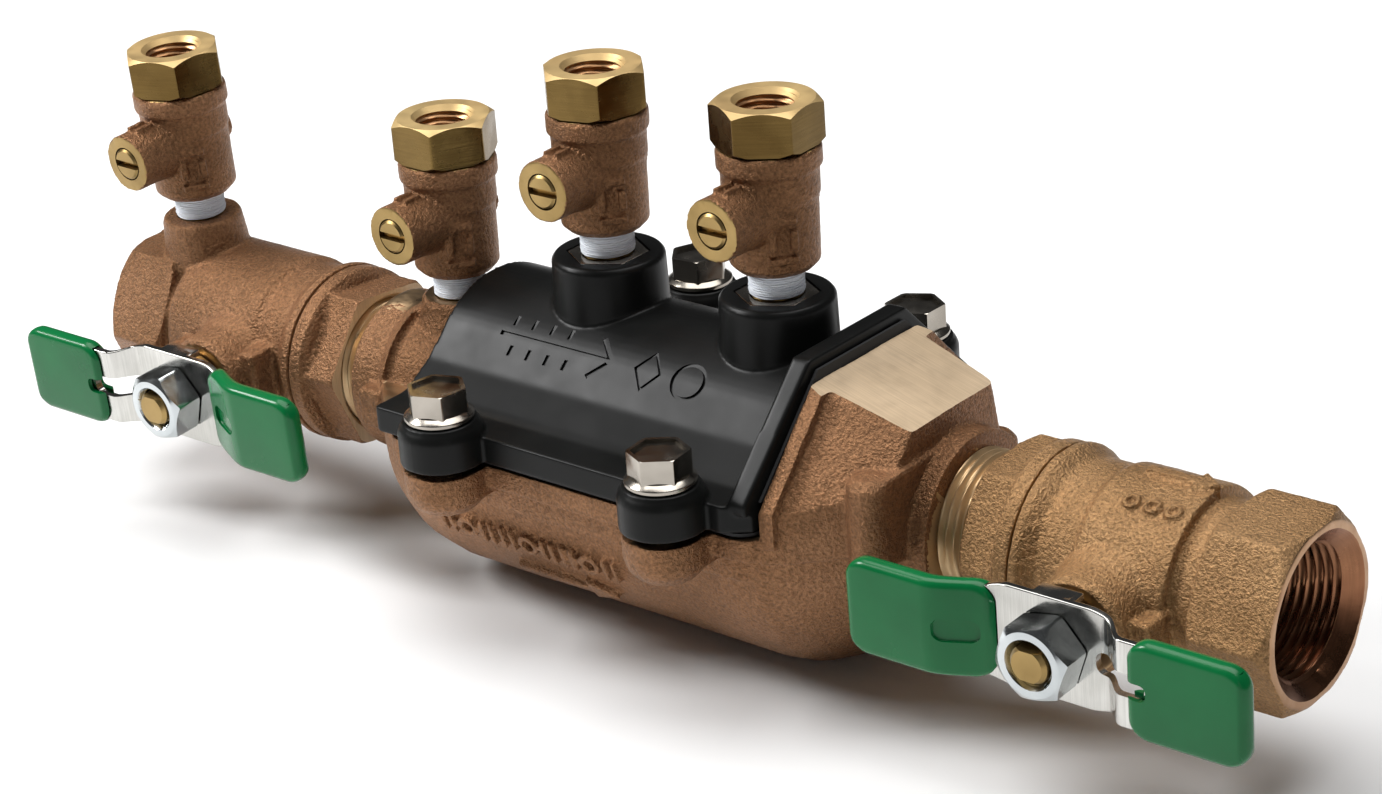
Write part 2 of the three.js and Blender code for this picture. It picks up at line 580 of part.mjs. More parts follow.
// ---- cover ------------------------------------------------------------------------------------
function accessCover() {
  const outline = roundedRect(COVER_START, COVER_END, -COVER_HALF_WIDTH, COVER_HALF_WIDTH, 5);
  const flange = plateZ(outline, COVER_BOTTOM, COVER_FLANGE_TOP);
  const archFrom = COVER_START + 0.3;
  const arch = turnedX([
    [archFrom, 0], [archFrom, ARCH_R - 3], [archFrom + 1.2, ARCH_R - 1], [archFrom + 3.4, ARCH_R],
    [COVER_END, ARCH_R], [COVER_END, 0],
  ], 24).translate([0, 0, ARCH_CENTRE_Z]);
  const above = box(COVER_START - 5, COVER_END, -60, 60, COVER_BOTTOM, 80);
  const skirt = plateX(shapeOf([
    [-30.5, COVER_FLANGE_TOP - 1], [-22.4, 17.4], [-16, 23.4],
    [16, 23.4], [22.4, 17.4], [30.5, COVER_FLANGE_TOP - 1],
  ]), COVER_START + 3, COVER_END);
  const endShape = endTrapezoid(
    END_FLANGE_HALF_TOP, END_FLANGE_HALF_BOTTOM, END_FLANGE_TOP, COVER_FLANGE_TOP - 1,
  );
  const endFlange = plateX(endShape, COVER_END - END_FLANGE_THICK, COVER_END);
  const bosses = [];
  const holes = [];
  for (const x of BOLT_X) {
    for (const y of [-BOLT_Y, BOLT_Y]) {
      const profile = [
        [COVER_BOTTOM, 0], [COVER_BOTTOM, BOLT_BOSS_R], [14.2, BOLT_BOSS_R], [15.6, 8.3], [16.1, 7.4],
        [16.1, 0],
      ];
      bosses.push(turnedZ(profile, 14).translate([x, y, 0]));
      holes.push(turnedZ(rod(0, 30, BOLT_SHANK_R + 0.5), 12).translate([x, y, 0]));
    }
  }
  const posts = [];
  for (const cock of COCKS.slice(2)) {
    const profile = [
      [14, 0], [14, POST_R + 0.6], [POST_TOP - 1.3, POST_R], [POST_TOP, POST_R - 1.2], [POST_TOP, 0],
    ];
    posts.push(turnedZ(profile, 18).translate([cock.x, cock.y, 0]));
    const pocketShape = hexagon(INSERT_AF + 2 * GAP, Math.PI / 6);
    const pocket = plateZ(pocketShape, POST_TOP - INSERT_DEPTH - GAP, POST_TOP + 1);
    holes.push(pocket.translate([cock.x, cock.y, 0]));
    holes.push(turnedZ(rod(10, 60, COCK_NIPPLE_R + 0.5), 16).translate([cock.x, cock.y, 0]));
  }
  const outer = join(flange, arch.intersect(above), skirt, endFlange, ...bosses, ...posts);
  const innerR = ARCH_R - COVER_WALL;
  const hollow = turnedX([
    [COVER_START + 4, 0], [COVER_START + 4, innerR - 2], [COVER_START + 6, innerR], [COVER_END + 1, innerR],
    [COVER_END + 1, 0],
  ], 24).translate([0, 0, ARCH_CENTRE_Z]);
  return cut(outer, hollow, ...holes);
}

function coverGasket() {
  const outline = roundedRect(COVER_START + 0.8, 208, -37.6, 37.6, 5.4);
  const window = roundedRect(COVER_START + 5.4, 209, -30.4, 30.4, 8);
  return cut(plateZ(outline, 5.9, 6.6), plateZ(window, 5, 8));
}

function endGasket() {
  const outline = endTrapezoid(14.4, 34.2, 33.2, 13);
  const window = endTrapezoid(10, 23.4, 27.2, 13.6);
  return cut(plateX(outline, 208.1, 208.7), plateX(window, 207, 210));
}

function coverBolt() {
  const washer = turnedZ([[BOLT_SEAT_Z, 0], [BOLT_SEAT_Z, 7.2], [17.2, 7.2], [18, 6.2], [18, 0]], 16);
  const hex = plateZ(hexagon(11.2, 0.35), 17.4, 23);
  const rounding = turnedZ([[17.4, 0], [17.4, 6.6], [22.2, 6.6], [23, 5.5], [23, 0]], 14);
  const dish = turnedZ([[22.2, 0], [22.2, 3], [23.1, 4.4], [23.1, 0]], 12);
  const shank = turnedZ([
    [-3.8, 0], [-3.8, BOLT_SHANK_R - 0.8], [-3, BOLT_SHANK_R], [17, BOLT_SHANK_R], [17, 0],
  ], 12);
  return cut(join(washer, hex.intersect(rounding), shank), dish);
}

function portInsert() {
  const ring = plateZ(hexagon(INSERT_AF, Math.PI / 6), POST_TOP - INSERT_DEPTH, POST_TOP - 0.1);
  return cut(ring, turnedZ(rod(0, 60, COCK_NIPPLE_R + 0.5), 16));
}

// ---- check modules ----------------------------------------------------------------------------
// Each is built round x = 0 at the middle of its web, opening toward +X.
function checkSeat() {
  return turnedX([
    [-5.4, 8.8], [-5.4, 14.4], [-2.8, 14.4], [-2.8, 12.1], [4.4, 12.1], [5.4, 10.2], [5.4, 8.8],
  ]);
}

function checkDisc() {
  return turnedX(tube(5.7, 8.5, 4.3, 10.9), 20);
}

function checkPoppet() {
  return turnedX([
    [4.6, 0], [4.6, 3.2], [5.4, 4], [8.8, 4], [8.8, 10.8], [11, 10.8], [11.6, 8], [11.6, 2.6], [31, 2.6],
    [32, 1.8], [32, 0],
  ], 20);
}

function checkSpring() {
  class Helix extends THREE.Curve {
    getPoint(t, target = new THREE.Vector3()) {
      const angle = t * 4 * 2 * Math.PI;
      return target.set(12.6 + t * 10.2, 5.6 * Math.cos(angle), 5.6 * Math.sin(angle));
    }
  }
  const wire = new THREE.Shape();
  wire.absarc(0, 0, 0.6, 0, 2 * Math.PI);
  const options = { steps: 40, extrudePath: new Helix(), curveSegments: 3 };
  return solid(new THREE.ExtrudeGeometry(wire, options));
}

function checkCage() {
  const base = turnedX(tube(2.8, 4.8, 12.7, 16), 20);
  const end = turnedX(tube(23.8, 26, 3, 15.4), 20);
  const posts = [];
  const windows = [];
  for (let i = 0; i < 4; i += 1) {
    const angle = Math.PI / 4 + (i * Math.PI) / 2;
    const place = [0, 14 * Math.cos(angle), 14 * Math.sin(angle)];
    posts.push(turnedX(rod(4, 24.6, 1.3), 6).translate(place));
    const middle = (i * Math.PI) / 2;
    const across = [0, 9.6 * Math.cos(middle), 9.6 * Math.sin(middle)];
    windows.push(turnedX(rod(20, 30, 2.6), 8).translate(across));
  }
  return cut(join(base, end, ...posts), ...windows);
}

function checkModule(tag) {
  const module = new THREE.Group();
  module.add(
    named(`check_${tag}_seat`, checkSeat(), 'acetal'),
    named(`check_${tag}_disc`, checkDisc(), 'rubber'),
    named(`check_${tag}_poppet`, checkPoppet(), 'acetal'),
    named(`check_${tag}_spring`, checkSpring(), 'stainless'),
    named(`check_${tag}_cage`, checkCage(), 'acetal'),
  );
  return module;
}

// ---- assembly ---------------------------------------------------------------------------------
const assembly = new THREE.Group();

const inlet = ballValve('inlet', -INLET_STEM_X, COCKS[0].x, INLET_ADAPTER_TURN);
inlet.add(testCock(COCKS[0]));
inlet.position.set(INLET_STEM_X, 0, 0);
inlet.rotation.x = INLET_TILT;
assembly.add(inlet);

const outlet = ballValve('outlet', -OUTLET_STEM_X, null, OUTLET_ADAPTER_TURN);
outlet.position.set(LENGTH - OUTLET_STEM_X, 0, OUTLET_RISE);
outlet.rotation.set(OUTLET_TILT, Math.PI, 0);
assembly.add(outlet);

const body = new THREE.Group();
body.position.x = BODY_OFFSET;
assembly.add(body);
body.add(named('main_body', mainBody(), 'bronze'));
body.add(named('access_cover', accessCover(), 'polymer'));
body.add(named('cover_gasket', coverGasket(), 'rubber'));
body.add(named('end_gasket', endGasket(), 'rubber'));

let boltNumber = 1;
for (const y of [-BOLT_Y, BOLT_Y]) {
  for (const x of BOLT_X) {
    const bolt = named(`cover_bolt_${boltNumber}`, coverBolt(), 'stainless');
    bolt.position.set(x, y, 0);
    body.add(bolt);
    boltNumber += 1;
  }
}

for (const cock of COCKS.slice(1)) {
  body.add(testCock(cock));
}

for (const cock of COCKS.slice(2)) {
  const insert = named(`port_insert_${cock.tag}`, portInsert(), 'stainless');
  insert.position.set(cock.x, cock.y, 0);
  body.add(insert);
}

CHECK_WEBS.forEach((x, i) => {
  const module = checkModule(String(i + 1));
  module.position.set(x, 0, 0);
  body.add(module);
});

export default assembly;
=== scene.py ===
# Double check backflow preventer, detailed visual model. Shapes are written in millimetres and
# made in metres, in the same frame as the CAD: origin at the inlet face, +X along the flow, +Z up.
from math import copysign, cos, hypot, pi, radians, sin, sqrt, tan

import bmesh
import bpy
from mathutils import Matrix, Vector, noise


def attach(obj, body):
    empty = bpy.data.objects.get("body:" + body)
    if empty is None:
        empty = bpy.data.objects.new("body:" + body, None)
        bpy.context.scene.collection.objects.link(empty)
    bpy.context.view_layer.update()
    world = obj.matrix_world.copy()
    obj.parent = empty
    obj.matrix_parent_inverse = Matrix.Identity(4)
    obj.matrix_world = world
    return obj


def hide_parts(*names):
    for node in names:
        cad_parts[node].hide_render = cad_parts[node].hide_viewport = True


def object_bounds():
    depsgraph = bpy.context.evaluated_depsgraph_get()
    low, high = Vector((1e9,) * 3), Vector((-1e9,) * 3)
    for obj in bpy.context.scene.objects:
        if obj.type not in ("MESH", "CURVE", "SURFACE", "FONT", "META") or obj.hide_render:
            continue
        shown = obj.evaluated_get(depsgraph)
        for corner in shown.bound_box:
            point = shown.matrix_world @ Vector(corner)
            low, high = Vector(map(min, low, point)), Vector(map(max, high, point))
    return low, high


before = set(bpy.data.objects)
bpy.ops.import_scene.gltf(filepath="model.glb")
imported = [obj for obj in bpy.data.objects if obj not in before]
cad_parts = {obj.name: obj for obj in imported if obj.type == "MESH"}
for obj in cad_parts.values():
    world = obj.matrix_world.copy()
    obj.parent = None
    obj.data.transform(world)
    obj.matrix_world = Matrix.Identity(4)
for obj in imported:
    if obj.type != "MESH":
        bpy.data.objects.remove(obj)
CAD_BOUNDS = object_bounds()

MM = 0.001
LENGTH = 307.5  # inlet face to outlet face
BODY_X = -2.8  # zero plane of the body's own drawing, from the inlet face
INLET_TILT = 0.06  # each valve as it came to rest on its thread, radians
OUTLET_TILT = 0.024
OUTLET_RISE = 1.8  # outlet bore above the inlet bore
COCK_SIDE = 1.0  # test cocks 2 to 4, off the pipe axis toward +Y
INLET_COCK_X = 17.5  # test cock 1, from the inlet face
RISER_X = 98.7  # test cock 2, in the body's own drawing
POST_X = (142.8, 187.2)  # test cocks 3 and 4
POST_TOP = 39.8
INLET_STEM_X = 40.2  # inlet face to the axis of the inlet valve's stem
OUTLET_STEM_REACH = 35.1  # outlet face to the axis of the outlet valve's stem
OUTLET_STEM_X = LENGTH - OUTLET_STEM_REACH
INLET = Matrix.Translation((INLET_STEM_X, 0, 0)) @ Matrix.Rotation(INLET_TILT, 4, "X")
OUTLET = (Matrix.Translation((OUTLET_STEM_X, 0, OUTLET_RISE))
          @ Matrix.Rotation(OUTLET_TILT, 4, "X") @ Matrix.Rotation(pi, 4, "Y"))
BODY = Matrix.Translation((BODY_X, 0, 0))

# ---- camera
AZIMUTH, ELEVATION, ROLL = 41.05, 23.835, -4.265  # degrees
DISTANCE, SIDE_SHIFT, UP_SHIFT = 692.883, -10.143, 13.353
AIM = Vector((172.6, 0, -0.3))
FOCAL, FRAME_WIDTH = 3371.177, 1382  # in one and the same unit
SENSOR_WIDTH = 36


def add(name, data):
    obj = bpy.data.objects.new(name, data)
    bpy.context.scene.collection.objects.link(obj)
    return obj


def place_camera():
    azimuth, elevation, roll = (radians(a) for a in (AZIMUTH, ELEVATION, ROLL))
    back = Vector((sin(azimuth) * cos(elevation),
                   -cos(azimuth) * cos(elevation), sin(elevation)))
    flat = Vector((cos(azimuth), sin(azimuth), 0))
    lift = back.cross(flat)
    right = flat * cos(roll) + lift * sin(roll)
    up = lift * cos(roll) - flat * sin(roll)
    eye = back * DISTANCE + right * SIDE_SHIFT + up * UP_SHIFT + AIM
    data = bpy.data.cameras.new("camera")
    camera = add("camera", data)
    turn = Matrix((right, up, back)).transposed().to_4x4()
    camera.matrix_world = Matrix.Translation(eye * MM) @ turn
    data.sensor_width = SENSOR_WIDTH
    data.lens = FOCAL * SENSOR_WIDTH / FRAME_WIDTH
    data.clip_start = 0.01
    data.clip_end = 20
    bpy.context.scene.camera = camera


place_camera()

# ---- mesh helpers


def make(name, points, faces, place=None):
    """A mesh object from points in millimetres, moved to its place."""
    mesh = bpy.data.meshes.new(name)
    mesh.from_pydata([tuple(p) for p in points], [], faces)
    obj = add(name, mesh)
    tidy(obj)
    if place is not None:
        mesh.transform(place)
    mesh.transform(Matrix.Scale(MM, 4))
    return obj


def tidy(obj):
    """Merge double points and turn every face outward."""
    work = bmesh.new()
    work.from_mesh(obj.data)
    bmesh.ops.remove_doubles(work, verts=work.verts, dist=1e-5)
    bmesh.ops.recalc_face_normals(work, faces=work.faces)
    if work.calc_volume(signed=True) < 0:
        bmesh.ops.reverse_faces(work, faces=work.faces)
    work.to_mesh(obj.data)
    work.free()


def move(obj, place):
    """Apply a transform written in millimetres to a mesh that is held in metres."""
    obj.data.transform(Matrix.Scale(MM, 4) @ place @ Matrix.Scale(1 / MM, 4))


# Where (along the axis, across, across) falls in space, for each axis.
AXES = {
    "X": lambda a, u, v: (a, u, v),
    "Y": lambda a, u, v: (v, a, u),
    "Z": lambda a, u, v: (u, v, a),
}


def shifted(points, at):
    return [(p[0] + at[0], p[1] + at[1], p[2] + at[2]) for p in points]


def lathe(name, profile, axis="X", at=(0, 0, 0), place=None, count=96, ripple=None,
          ring=False):
    """Turn a profile of (along, radius) pairs; ripple(along, angle, radius) adds to the radius.

    A ring's profile closes on itself. Any other gets a flat end wherever it stops off the axis.
    """
    if not ring and profile[0][1] > 0:
        profile = [(profile[0][0], 0), *profile]
    if not ring and profile[-1][1] > 0:
        profile = [*profile, (profile[-1][0], 0)]
    steps = len(profile) if ring else len(profile) - 1
    points, rings = [], []
    for along, radius in profile:
        if radius < 1e-6:
            rings.append([len(points)])
            points.append(AXES[axis](along, 0, 0))
            continue
        circle = []
        for k in range(count):
            angle = 2 * pi * k / count
            r = radius + (ripple(along, angle, radius) if ripple else 0)
            circle.append(len(points))
            points.append(AXES[axis](along, r * cos(angle), r * sin(angle)))
        rings.append(circle)
    faces = []
    for i in range(steps):
        one, two = rings[i], rings[(i + 1) % len(rings)]
        if len(one) == 1 and len(two) == 1:
            continue
        for k in range(count):
            n = (k + 1) % count
            if len(one) == 1:
                faces.append((one[0], two[n], two[k]))
            elif len(two) == 1:
                faces.append((one[k], one[n], two[0]))
            else:
                faces.append((one[k], one[n], two[n], two[k]))
    return make(name, shifted(points, at), faces, place)


def rod(name, low, high, radius, *args, **options):
    """A solid cylinder."""
    return lathe(name, [(low, radius), (high, radius)], *args, **options)


def tube(name, low, high, inner, outer, *args, **options):
    """A ring with a rectangular section."""
    profile = [(low, inner), (low, outer), (high, outer), (high, inner)]
    return lathe(name, profile, *args, ring=True, **options)


def rounded(points, radius, steps=4, closed=False):
    """Round the corners of a 2-D outline; radius may be one number or one for each point."""
    out = []
    n = len(points)
    for i, p in enumerate(points):
        r = radius[i] if isinstance(radius, (list, tuple)) else radius
        if (not closed and i in (0, n - 1)) or r <= 0:
            out.append(p)
            continue
        here = Vector(p)
        before = Vector(points[i - 1]) - here
        after = Vector(points[(i + 1) % n]) - here
        angle = before.angle(after)
        if angle > pi - 0.05:
            out.append(p)
            continue
        reach = min(r / tan(angle / 2), before.length * 0.49, after.length * 0.49)
        start = here + before.normalized() * reach
        end = here + after.normalized() * reach
        for k in range(steps + 1):
            t = k / steps
            spot = start * (1 - t) ** 2 + here * 2 * t * (1 - t) + end * t ** 2
            out.append((spot.x, spot.y))
    return out


# Where (across, across, along the axis) falls in space, for each axis.
PLANES = {
    "X": lambda u, v, a: (a, u, v),
    "Y": lambda u, v, a: (u, a, v),
    "Z": lambda u, v, a: (u, v, a),
}


def prism(name, outline, low, high, axis="Z", at=(0, 0, 0), place=None, bevel=0.0):
    """A plate with its outline across the axis, running along the axis from low to high."""
    n = len(outline)
    to = PLANES[axis]
    points = [to(u, v, low) for u, v in outline] + [to(u, v, high) for u, v in outline]
    faces = [tuple(range(n))[::-1], tuple(range(n, 2 * n))]
    faces += [(i, (i + 1) % n, n + (i + 1) % n, n + i) for i in range(n)]
    obj = make(name, shifted(points, at), faces)
    if bevel > 0:
        work = bmesh.new()
        work.from_mesh(obj.data)
        edges = [e for e in work.edges if e.calc_face_angle(0) > 0.5]
        bmesh.ops.bevel(work, geom=edges, offset=bevel * MM, segments=3, profile=0.5,
                        affect="EDGES", clamp_overlap=True)
        work.to_mesh(obj.data)
        work.free()
    if place is not None:
        move(obj, place)
    return obj


def block(name, x0, x1, y0, y1, z0, z1, **options):
    return prism(name, [(x0, y0), (x1, y0), (x1, y1), (x0, y1)], z0, z1, **options)


def hexagon(flats, turn=0.0):
    r = flats / sqrt(3)
    angles = [turn + i * pi / 3 for i in range(6)]
    return [(r * cos(a), r * sin(a)) for a in angles]


def round_rect(x0, x1, y0, y1, r, steps=8):
    return rounded([(x0, y0), (x1, y0), (x1, y1), (x0, y1)], r, steps, closed=True)


def thread(name, start, end, radius, depth, pitch, axis="X", at=(0, 0, 0), place=None,
           taper=0.0, count=72, fade=0.0):
    """A screw-shaped rod: its radius rises and falls once per pitch along a helix.

    taper is the growth of the radius over the whole length, fade the length of each run-out.
    """
    rows = max(8, int(abs(end - start) / pitch * 9))
    profile = [(start + (end - start) * i / rows, radius + taper * i / rows)
               for i in range(rows + 1)]

    def ripple(along, angle, _radius):
        turns = (along - start) / pitch - angle / (2 * pi)
        wave = 1 - abs(2 * (turns % 1.0) - 1)
        soft = min(1.0, max(0.0, wave * 1.25 - 0.125))
        edge = 1.0
        if fade > 0:
            edge = min(1.0, abs(along - start) / fade, abs(end - along) / fade)
        return depth * soft * edge

    return lathe(name, profile, axis, at, place, count, ripple)


def bake(obj):
    graph = bpy.context.evaluated_depsgraph_get()
    mesh = bpy.data.meshes.new_from_object(obj.evaluated_get(graph))
    obj.modifiers.clear()
    obj.data = mesh
    return obj


def combine(obj, others, operation):
    """Join, cut or intersect, and use up the other objects."""
    for other in others:
        mod = obj.modifiers.new("shape", "BOOLEAN")
        mod.operation = operation
        mod.solver = "MANIFOLD"
        mod.object = other
    bake(obj)
    for other in others:
        bpy.data.objects.remove(other, do_unlink=True)
    return obj


def join(obj, *others):
    return combine(obj, others, "UNION")


def cut(obj, *others):
    return combine(obj, others, "DIFFERENCE")


def meet(obj, *others):
    return combine(obj, others, "INTERSECT")


def hull(name, points):
    """The convex solid that holds all the points."""
    work = bmesh.new()
    for point in points:
        work.verts.new(Vector(point) * MM)
    bmesh.ops.convex_hull(work, input=work.verts)
    mesh = bpy.data.meshes.new(name)
    work.to_mesh(mesh)
    work.free()
    obj = add(name, mesh)
    tidy(obj)
    return obj


def soften(obj, voxel, passes):
    """Blend joined shapes into one skin with soft edges, as a casting or a moulding has."""
    mod = obj.modifiers.new("skin", "REMESH")
    mod.mode = "VOXEL"
    mod.voxel_size = voxel * MM
    mod.adaptivity = 0
    smooth = obj.modifiers.new("smooth", "SMOOTH")
    smooth.iterations = passes
    smooth.factor = 0.5
    return bake(obj)


def roughen(obj, sizes, seed=0.0, keep=None):
    """Push each point in or out by noise, as sand casting does.

    sizes lists (scale in mm, height in mm) pairs. keep(point) is true where the skin stays smooth.
    """
    mesh = obj.data
    shift = Vector((seed, seed * 1.7, -seed))
    normals = [item.vector.copy() for item in mesh.vertex_normals]
    spots = []
    for vert, normal in zip(mesh.vertices, normals):
        p = vert.co / MM
        if keep is None or not keep(p):
            height = sum(noise.noise(p / scale + shift) * height for scale, height in sizes)
            p += normal * height
        spots.extend(p * MM)
    mesh.vertices.foreach_set("co", spots)
    mesh.update()
    return obj


def shade(obj, degrees):
    """Smooth shading, with a sharp edge wherever faces meet at a larger angle."""
    obj.data.polygons.foreach_set("use_smooth", [True] * len(obj.data.polygons))
    obj.data.set_sharp_from_angle(angle=radians(degrees))
    return obj


# ---- materials


class Build:
    """A material on the Principled shader, wired node by node in object coordinates."""

    def __init__(self, name):
        self.material = bpy.data.materials.new(name)
        self.material.use_nodes = True
        self.tree = self.material.node_tree
        self.shader = self.tree.nodes["Principled BSDF"]
        self.coords = self.tree.nodes.new("ShaderNodeTexCoord").outputs["Object"]

    def feed(self, socket, value):
        """Put a number or a colour on a socket, or link another node to it."""
        if isinstance(value, (int, float)):
            socket.default_value = value
        elif isinstance(value, tuple):
            socket.default_value = (*value, 1)
        else:
            self.tree.links.new(value, socket)

    def node(self, kind, **inputs):
        node = self.tree.nodes.new("ShaderNode" + kind)
        for key, value in inputs.items():
            self.feed(node.inputs[key], value)
        return node

    def noise(self, scale, detail=4.0, rough=0.5, stretch=None):
        """Noise, drawn out into streaks for tool marks and wraps if stretch is given."""
        coords = self.coords
        if stretch is not None:
            mapping = self.node("Mapping", Vector=coords)
            mapping.inputs["Scale"].default_value = stretch
            coords = mapping.outputs["Vector"]
        node = self.node("TexNoise", Scale=scale, Detail=detail, Roughness=rough, Vector=coords)
        return node.outputs["Fac"]

    def ramp(self, source, stops):
        """Colours or grey levels at (place, value) stops."""
        node = self.node("ValToRGB", Fac=source)
        while len(node.color_ramp.elements) < len(stops):
            node.color_ramp.elements.new(0.5)
        for element, (place, colour) in zip(node.color_ramp.elements, stops):
            element.position = place
            rgb = colour if isinstance(colour, tuple) else (colour,) * 3
            element.color = (*rgb, 1)
        return node.outputs["Color"]

    def multiply(self, factor, one, two):
        node = self.node("Mix")
        node.data_type = "RGBA"
        node.blend_type = "MULTIPLY"
        for index, value in ((0, factor), (6, one), (7, two)):
            self.feed(node.inputs[index], value)
        return node.outputs[2]

    def bump(self, height, strength, distance, under=None):
        """A bump on top of the one under it; distance in mm."""
        node = self.node("Bump", Strength=strength, Distance=distance * MM, Height=height)
        if under is not None:
            self.feed(node.inputs["Normal"], under)
        self.feed(self.shader.inputs["Normal"], node.outputs["Normal"])
        return node.outputs["Normal"]

    def set(self, **values):
        """Feed the shader's own sockets by name."""
        for key, value in values.items():
            self.feed(self.shader.inputs[key.replace("_", " ")], value)


def cast_bronze(name, dark, mid, light):
    b = Build(name)
    grain = b.noise(1500, 3, 0.65)
    speck = b.noise(3200, 2, 0.5)
    colour = b.ramp(b.noise(40, 4), [(0.3, dark), (0.5, mid), (0.72, light)])
    # The grain lightens and darkens the colour: partly the casting's own grain, partly painted
    # glints, its bright end raised to stand in for sparkle.
    colour = b.multiply(0.75, colour, b.ramp(grain, [(0.32, 0.5), (0.5, 1.0), (0.68, 1.5)]))
    colour = b.multiply(0.4, colour, b.ramp(b.noise(420, 3), [(0.28, 0.6), (0.42, 1.0)]))
    b.set(Base_Color=colour, Metallic=0.85, Roughness=b.ramp(speck, [(0.3, 0.52), (0.7, 0.34)]))
    one = b.bump(grain, 1.0, 0.6)
    two = b.bump(speck, 0.6, 0.16, one)
    b.bump(b.noise(450, 3), 0.35, 0.3, two)
    return b.material


def machined(name, base, bright, rough, lines, scratch, metallic=1.0):
    """Cut metal, with tool marks across the axis named by lines, or none in particular for N."""
    b = Build(name)
    factors = {"X": (40, 1, 1), "Y": (1, 40, 1), "Z": (1, 1, 40), "N": (1, 1, 1)}[lines]
    tool = b.noise(90, 3, 0.5, factors)
    colour = b.ramp(b.noise(60, 3), [(0.35, base), (0.65, bright)])
    colour = b.multiply(0.7, colour, b.ramp(tool, [(0.3, 0.82), (0.7, 1.1)]))
    finish = b.ramp(b.noise(220, 4), [(0.3, rough - 0.07), (0.75, rough + 0.13)])
    b.set(Base_Color=colour, Metallic=metallic, Roughness=finish)
    one = b.bump(tool, scratch, 0.06)
    b.bump(b.noise(700, 2), 0.12, 0.08, one)
    return b.material


def polymer(name, base, rough, grain, coat=0.0, scale=1500, specular=0.5):
    b = Build(name)
    paler = tuple(min(1, c * 1.35 + 0.002) for c in base)
    colour = b.ramp(b.noise(45, 4), [(0.3, base), (0.7, paler)])
    finish = b.ramp(b.noise(130, 5), [(0.3, rough - 0.03), (0.7, rough + 0.04)])
    b.set(Base_Color=colour, Metallic=0.0, Roughness=finish, Coat_Weight=coat, Coat_Roughness=0.12,
          Specular_IOR_Level=specular)
    one = b.bump(b.noise(scale, 2), grain, 0.05)
    b.bump(b.noise(120, 2), grain * 0.4, 0.15, one)
    return b.material


def tape_material():
    b = Build("thread_tape")
    wraps = b.noise(60, 4, 0.5, (1, 1, 14))
    colour = b.ramp(wraps, [(0.3, (0.62, 0.66, 0.74)), (0.55, (0.86, 0.9, 0.96))])
    b.set(Base_Color=colour, Metallic=0.0, Roughness=0.55, Subsurface_Weight=0.15)
    b.shader.inputs["Subsurface Radius"].default_value = (0.002, 0.002, 0.002)
    one = b.bump(wraps, 0.7, 0.25)
    b.bump(b.noise(900, 3), 0.3, 0.1, one)
    return b.material


BRONZE = cast_bronze("cast_bronze", (0.21, 0.105, 0.05), (0.27, 0.137, 0.066), (0.33, 0.172, 0.088))
BRONZE_GOLD = cast_bronze("cast_bronze_golden", (0.29, 0.162, 0.07), (0.36, 0.207, 0.094),
                          (0.43, 0.255, 0.12))
BRONZE_CUT = machined("bronze_machined", (0.4, 0.26, 0.14), (0.52, 0.36, 0.21), 0.32, "N", 0.2)
PAD_CUT = machined("bronze_milled", (0.6, 0.45, 0.29), (0.66, 0.5, 0.33), 0.45, "Y", 0.3, 0.35)
BRONZE_FACE = machined("bronze_end_face", (0.36, 0.2, 0.11), (0.46, 0.28, 0.16), 0.34, "N", 0.2)
THREAD_CUT = machined("bronze_thread", (0.5, 0.34, 0.18), (0.62, 0.44, 0.25), 0.34, "N", 0.2, 0.7)
BRONZE_BORE = machined("bronze_bore", (0.2, 0.085, 0.045), (0.33, 0.155, 0.08), 0.3, "X", 0.3)
BRASS = machined("brass_machined", (0.115, 0.07, 0.022), (0.175, 0.112, 0.038), 0.24, "Z", 0.35)
BRASS_RIM = machined("brass_rim", (0.5, 0.34, 0.15), (0.64, 0.46, 0.21), 0.5, "N", 0.2, 0.7)
COPPER_BORE = machined("copper_bore", (0.42, 0.22, 0.1), (0.55, 0.32, 0.16), 0.36, "Z", 0.2, 0.9)
BRASS_FACE = machined("brass_turned_face", (0.3, 0.2, 0.075), (0.38, 0.26, 0.105), 0.36, "N", 0.2)
BLACK = polymer("black_polymer", (0.004, 0.0042, 0.004), 0.36, 0.1, specular=0.16)
GREEN = polymer("green_vinyl", (0.001, 0.115, 0.03), 0.24, 0.05, 0.12, 500, 0.22)
ZINC = machined("zinc_plate", (0.42, 0.45, 0.46), (0.6, 0.63, 0.64), 0.17, "N", 0.15)
STEEL = machined("polished_steel", (0.46, 0.45, 0.42), (0.62, 0.61, 0.58), 0.14, "X", 0.12)
STAINLESS = machined("stainless", (0.3, 0.27, 0.23), (0.46, 0.42, 0.37), 0.2, "N", 0.2)
TAPE = tape_material()
RUBBER = polymer("black_rubber", (0.015, 0.015, 0.016), 0.65, 0.3)
ACETAL = polymer("pale_acetal", (0.62, 0.63, 0.6), 0.42, 0.1)


def finish(obj, degrees, body, slot, node, material, *zones, place=Matrix()):
    """Shade and paint a piece, and let it take the place of its CAD node.

    A zone is (material, test), for the faces that pass test(p, n): centre in mm and normal, both
    turned back into the frame the piece was drawn in.
    """
    shade(obj, degrees)
    back = place.inverted()
    turn = back.to_3x3()
    obj.data.materials.clear()
    for look in (material, *[zone[0] for zone in zones]):
        obj.data.materials.append(look)
    for face in obj.data.polygons:
        p, n = back @ (face.center / MM), turn @ face.normal
        face.material_index = 0
        for i, (_, test) in enumerate(zones):
            if test(p, n):
                face.material_index = i + 1
    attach(obj, body)
    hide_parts(node)


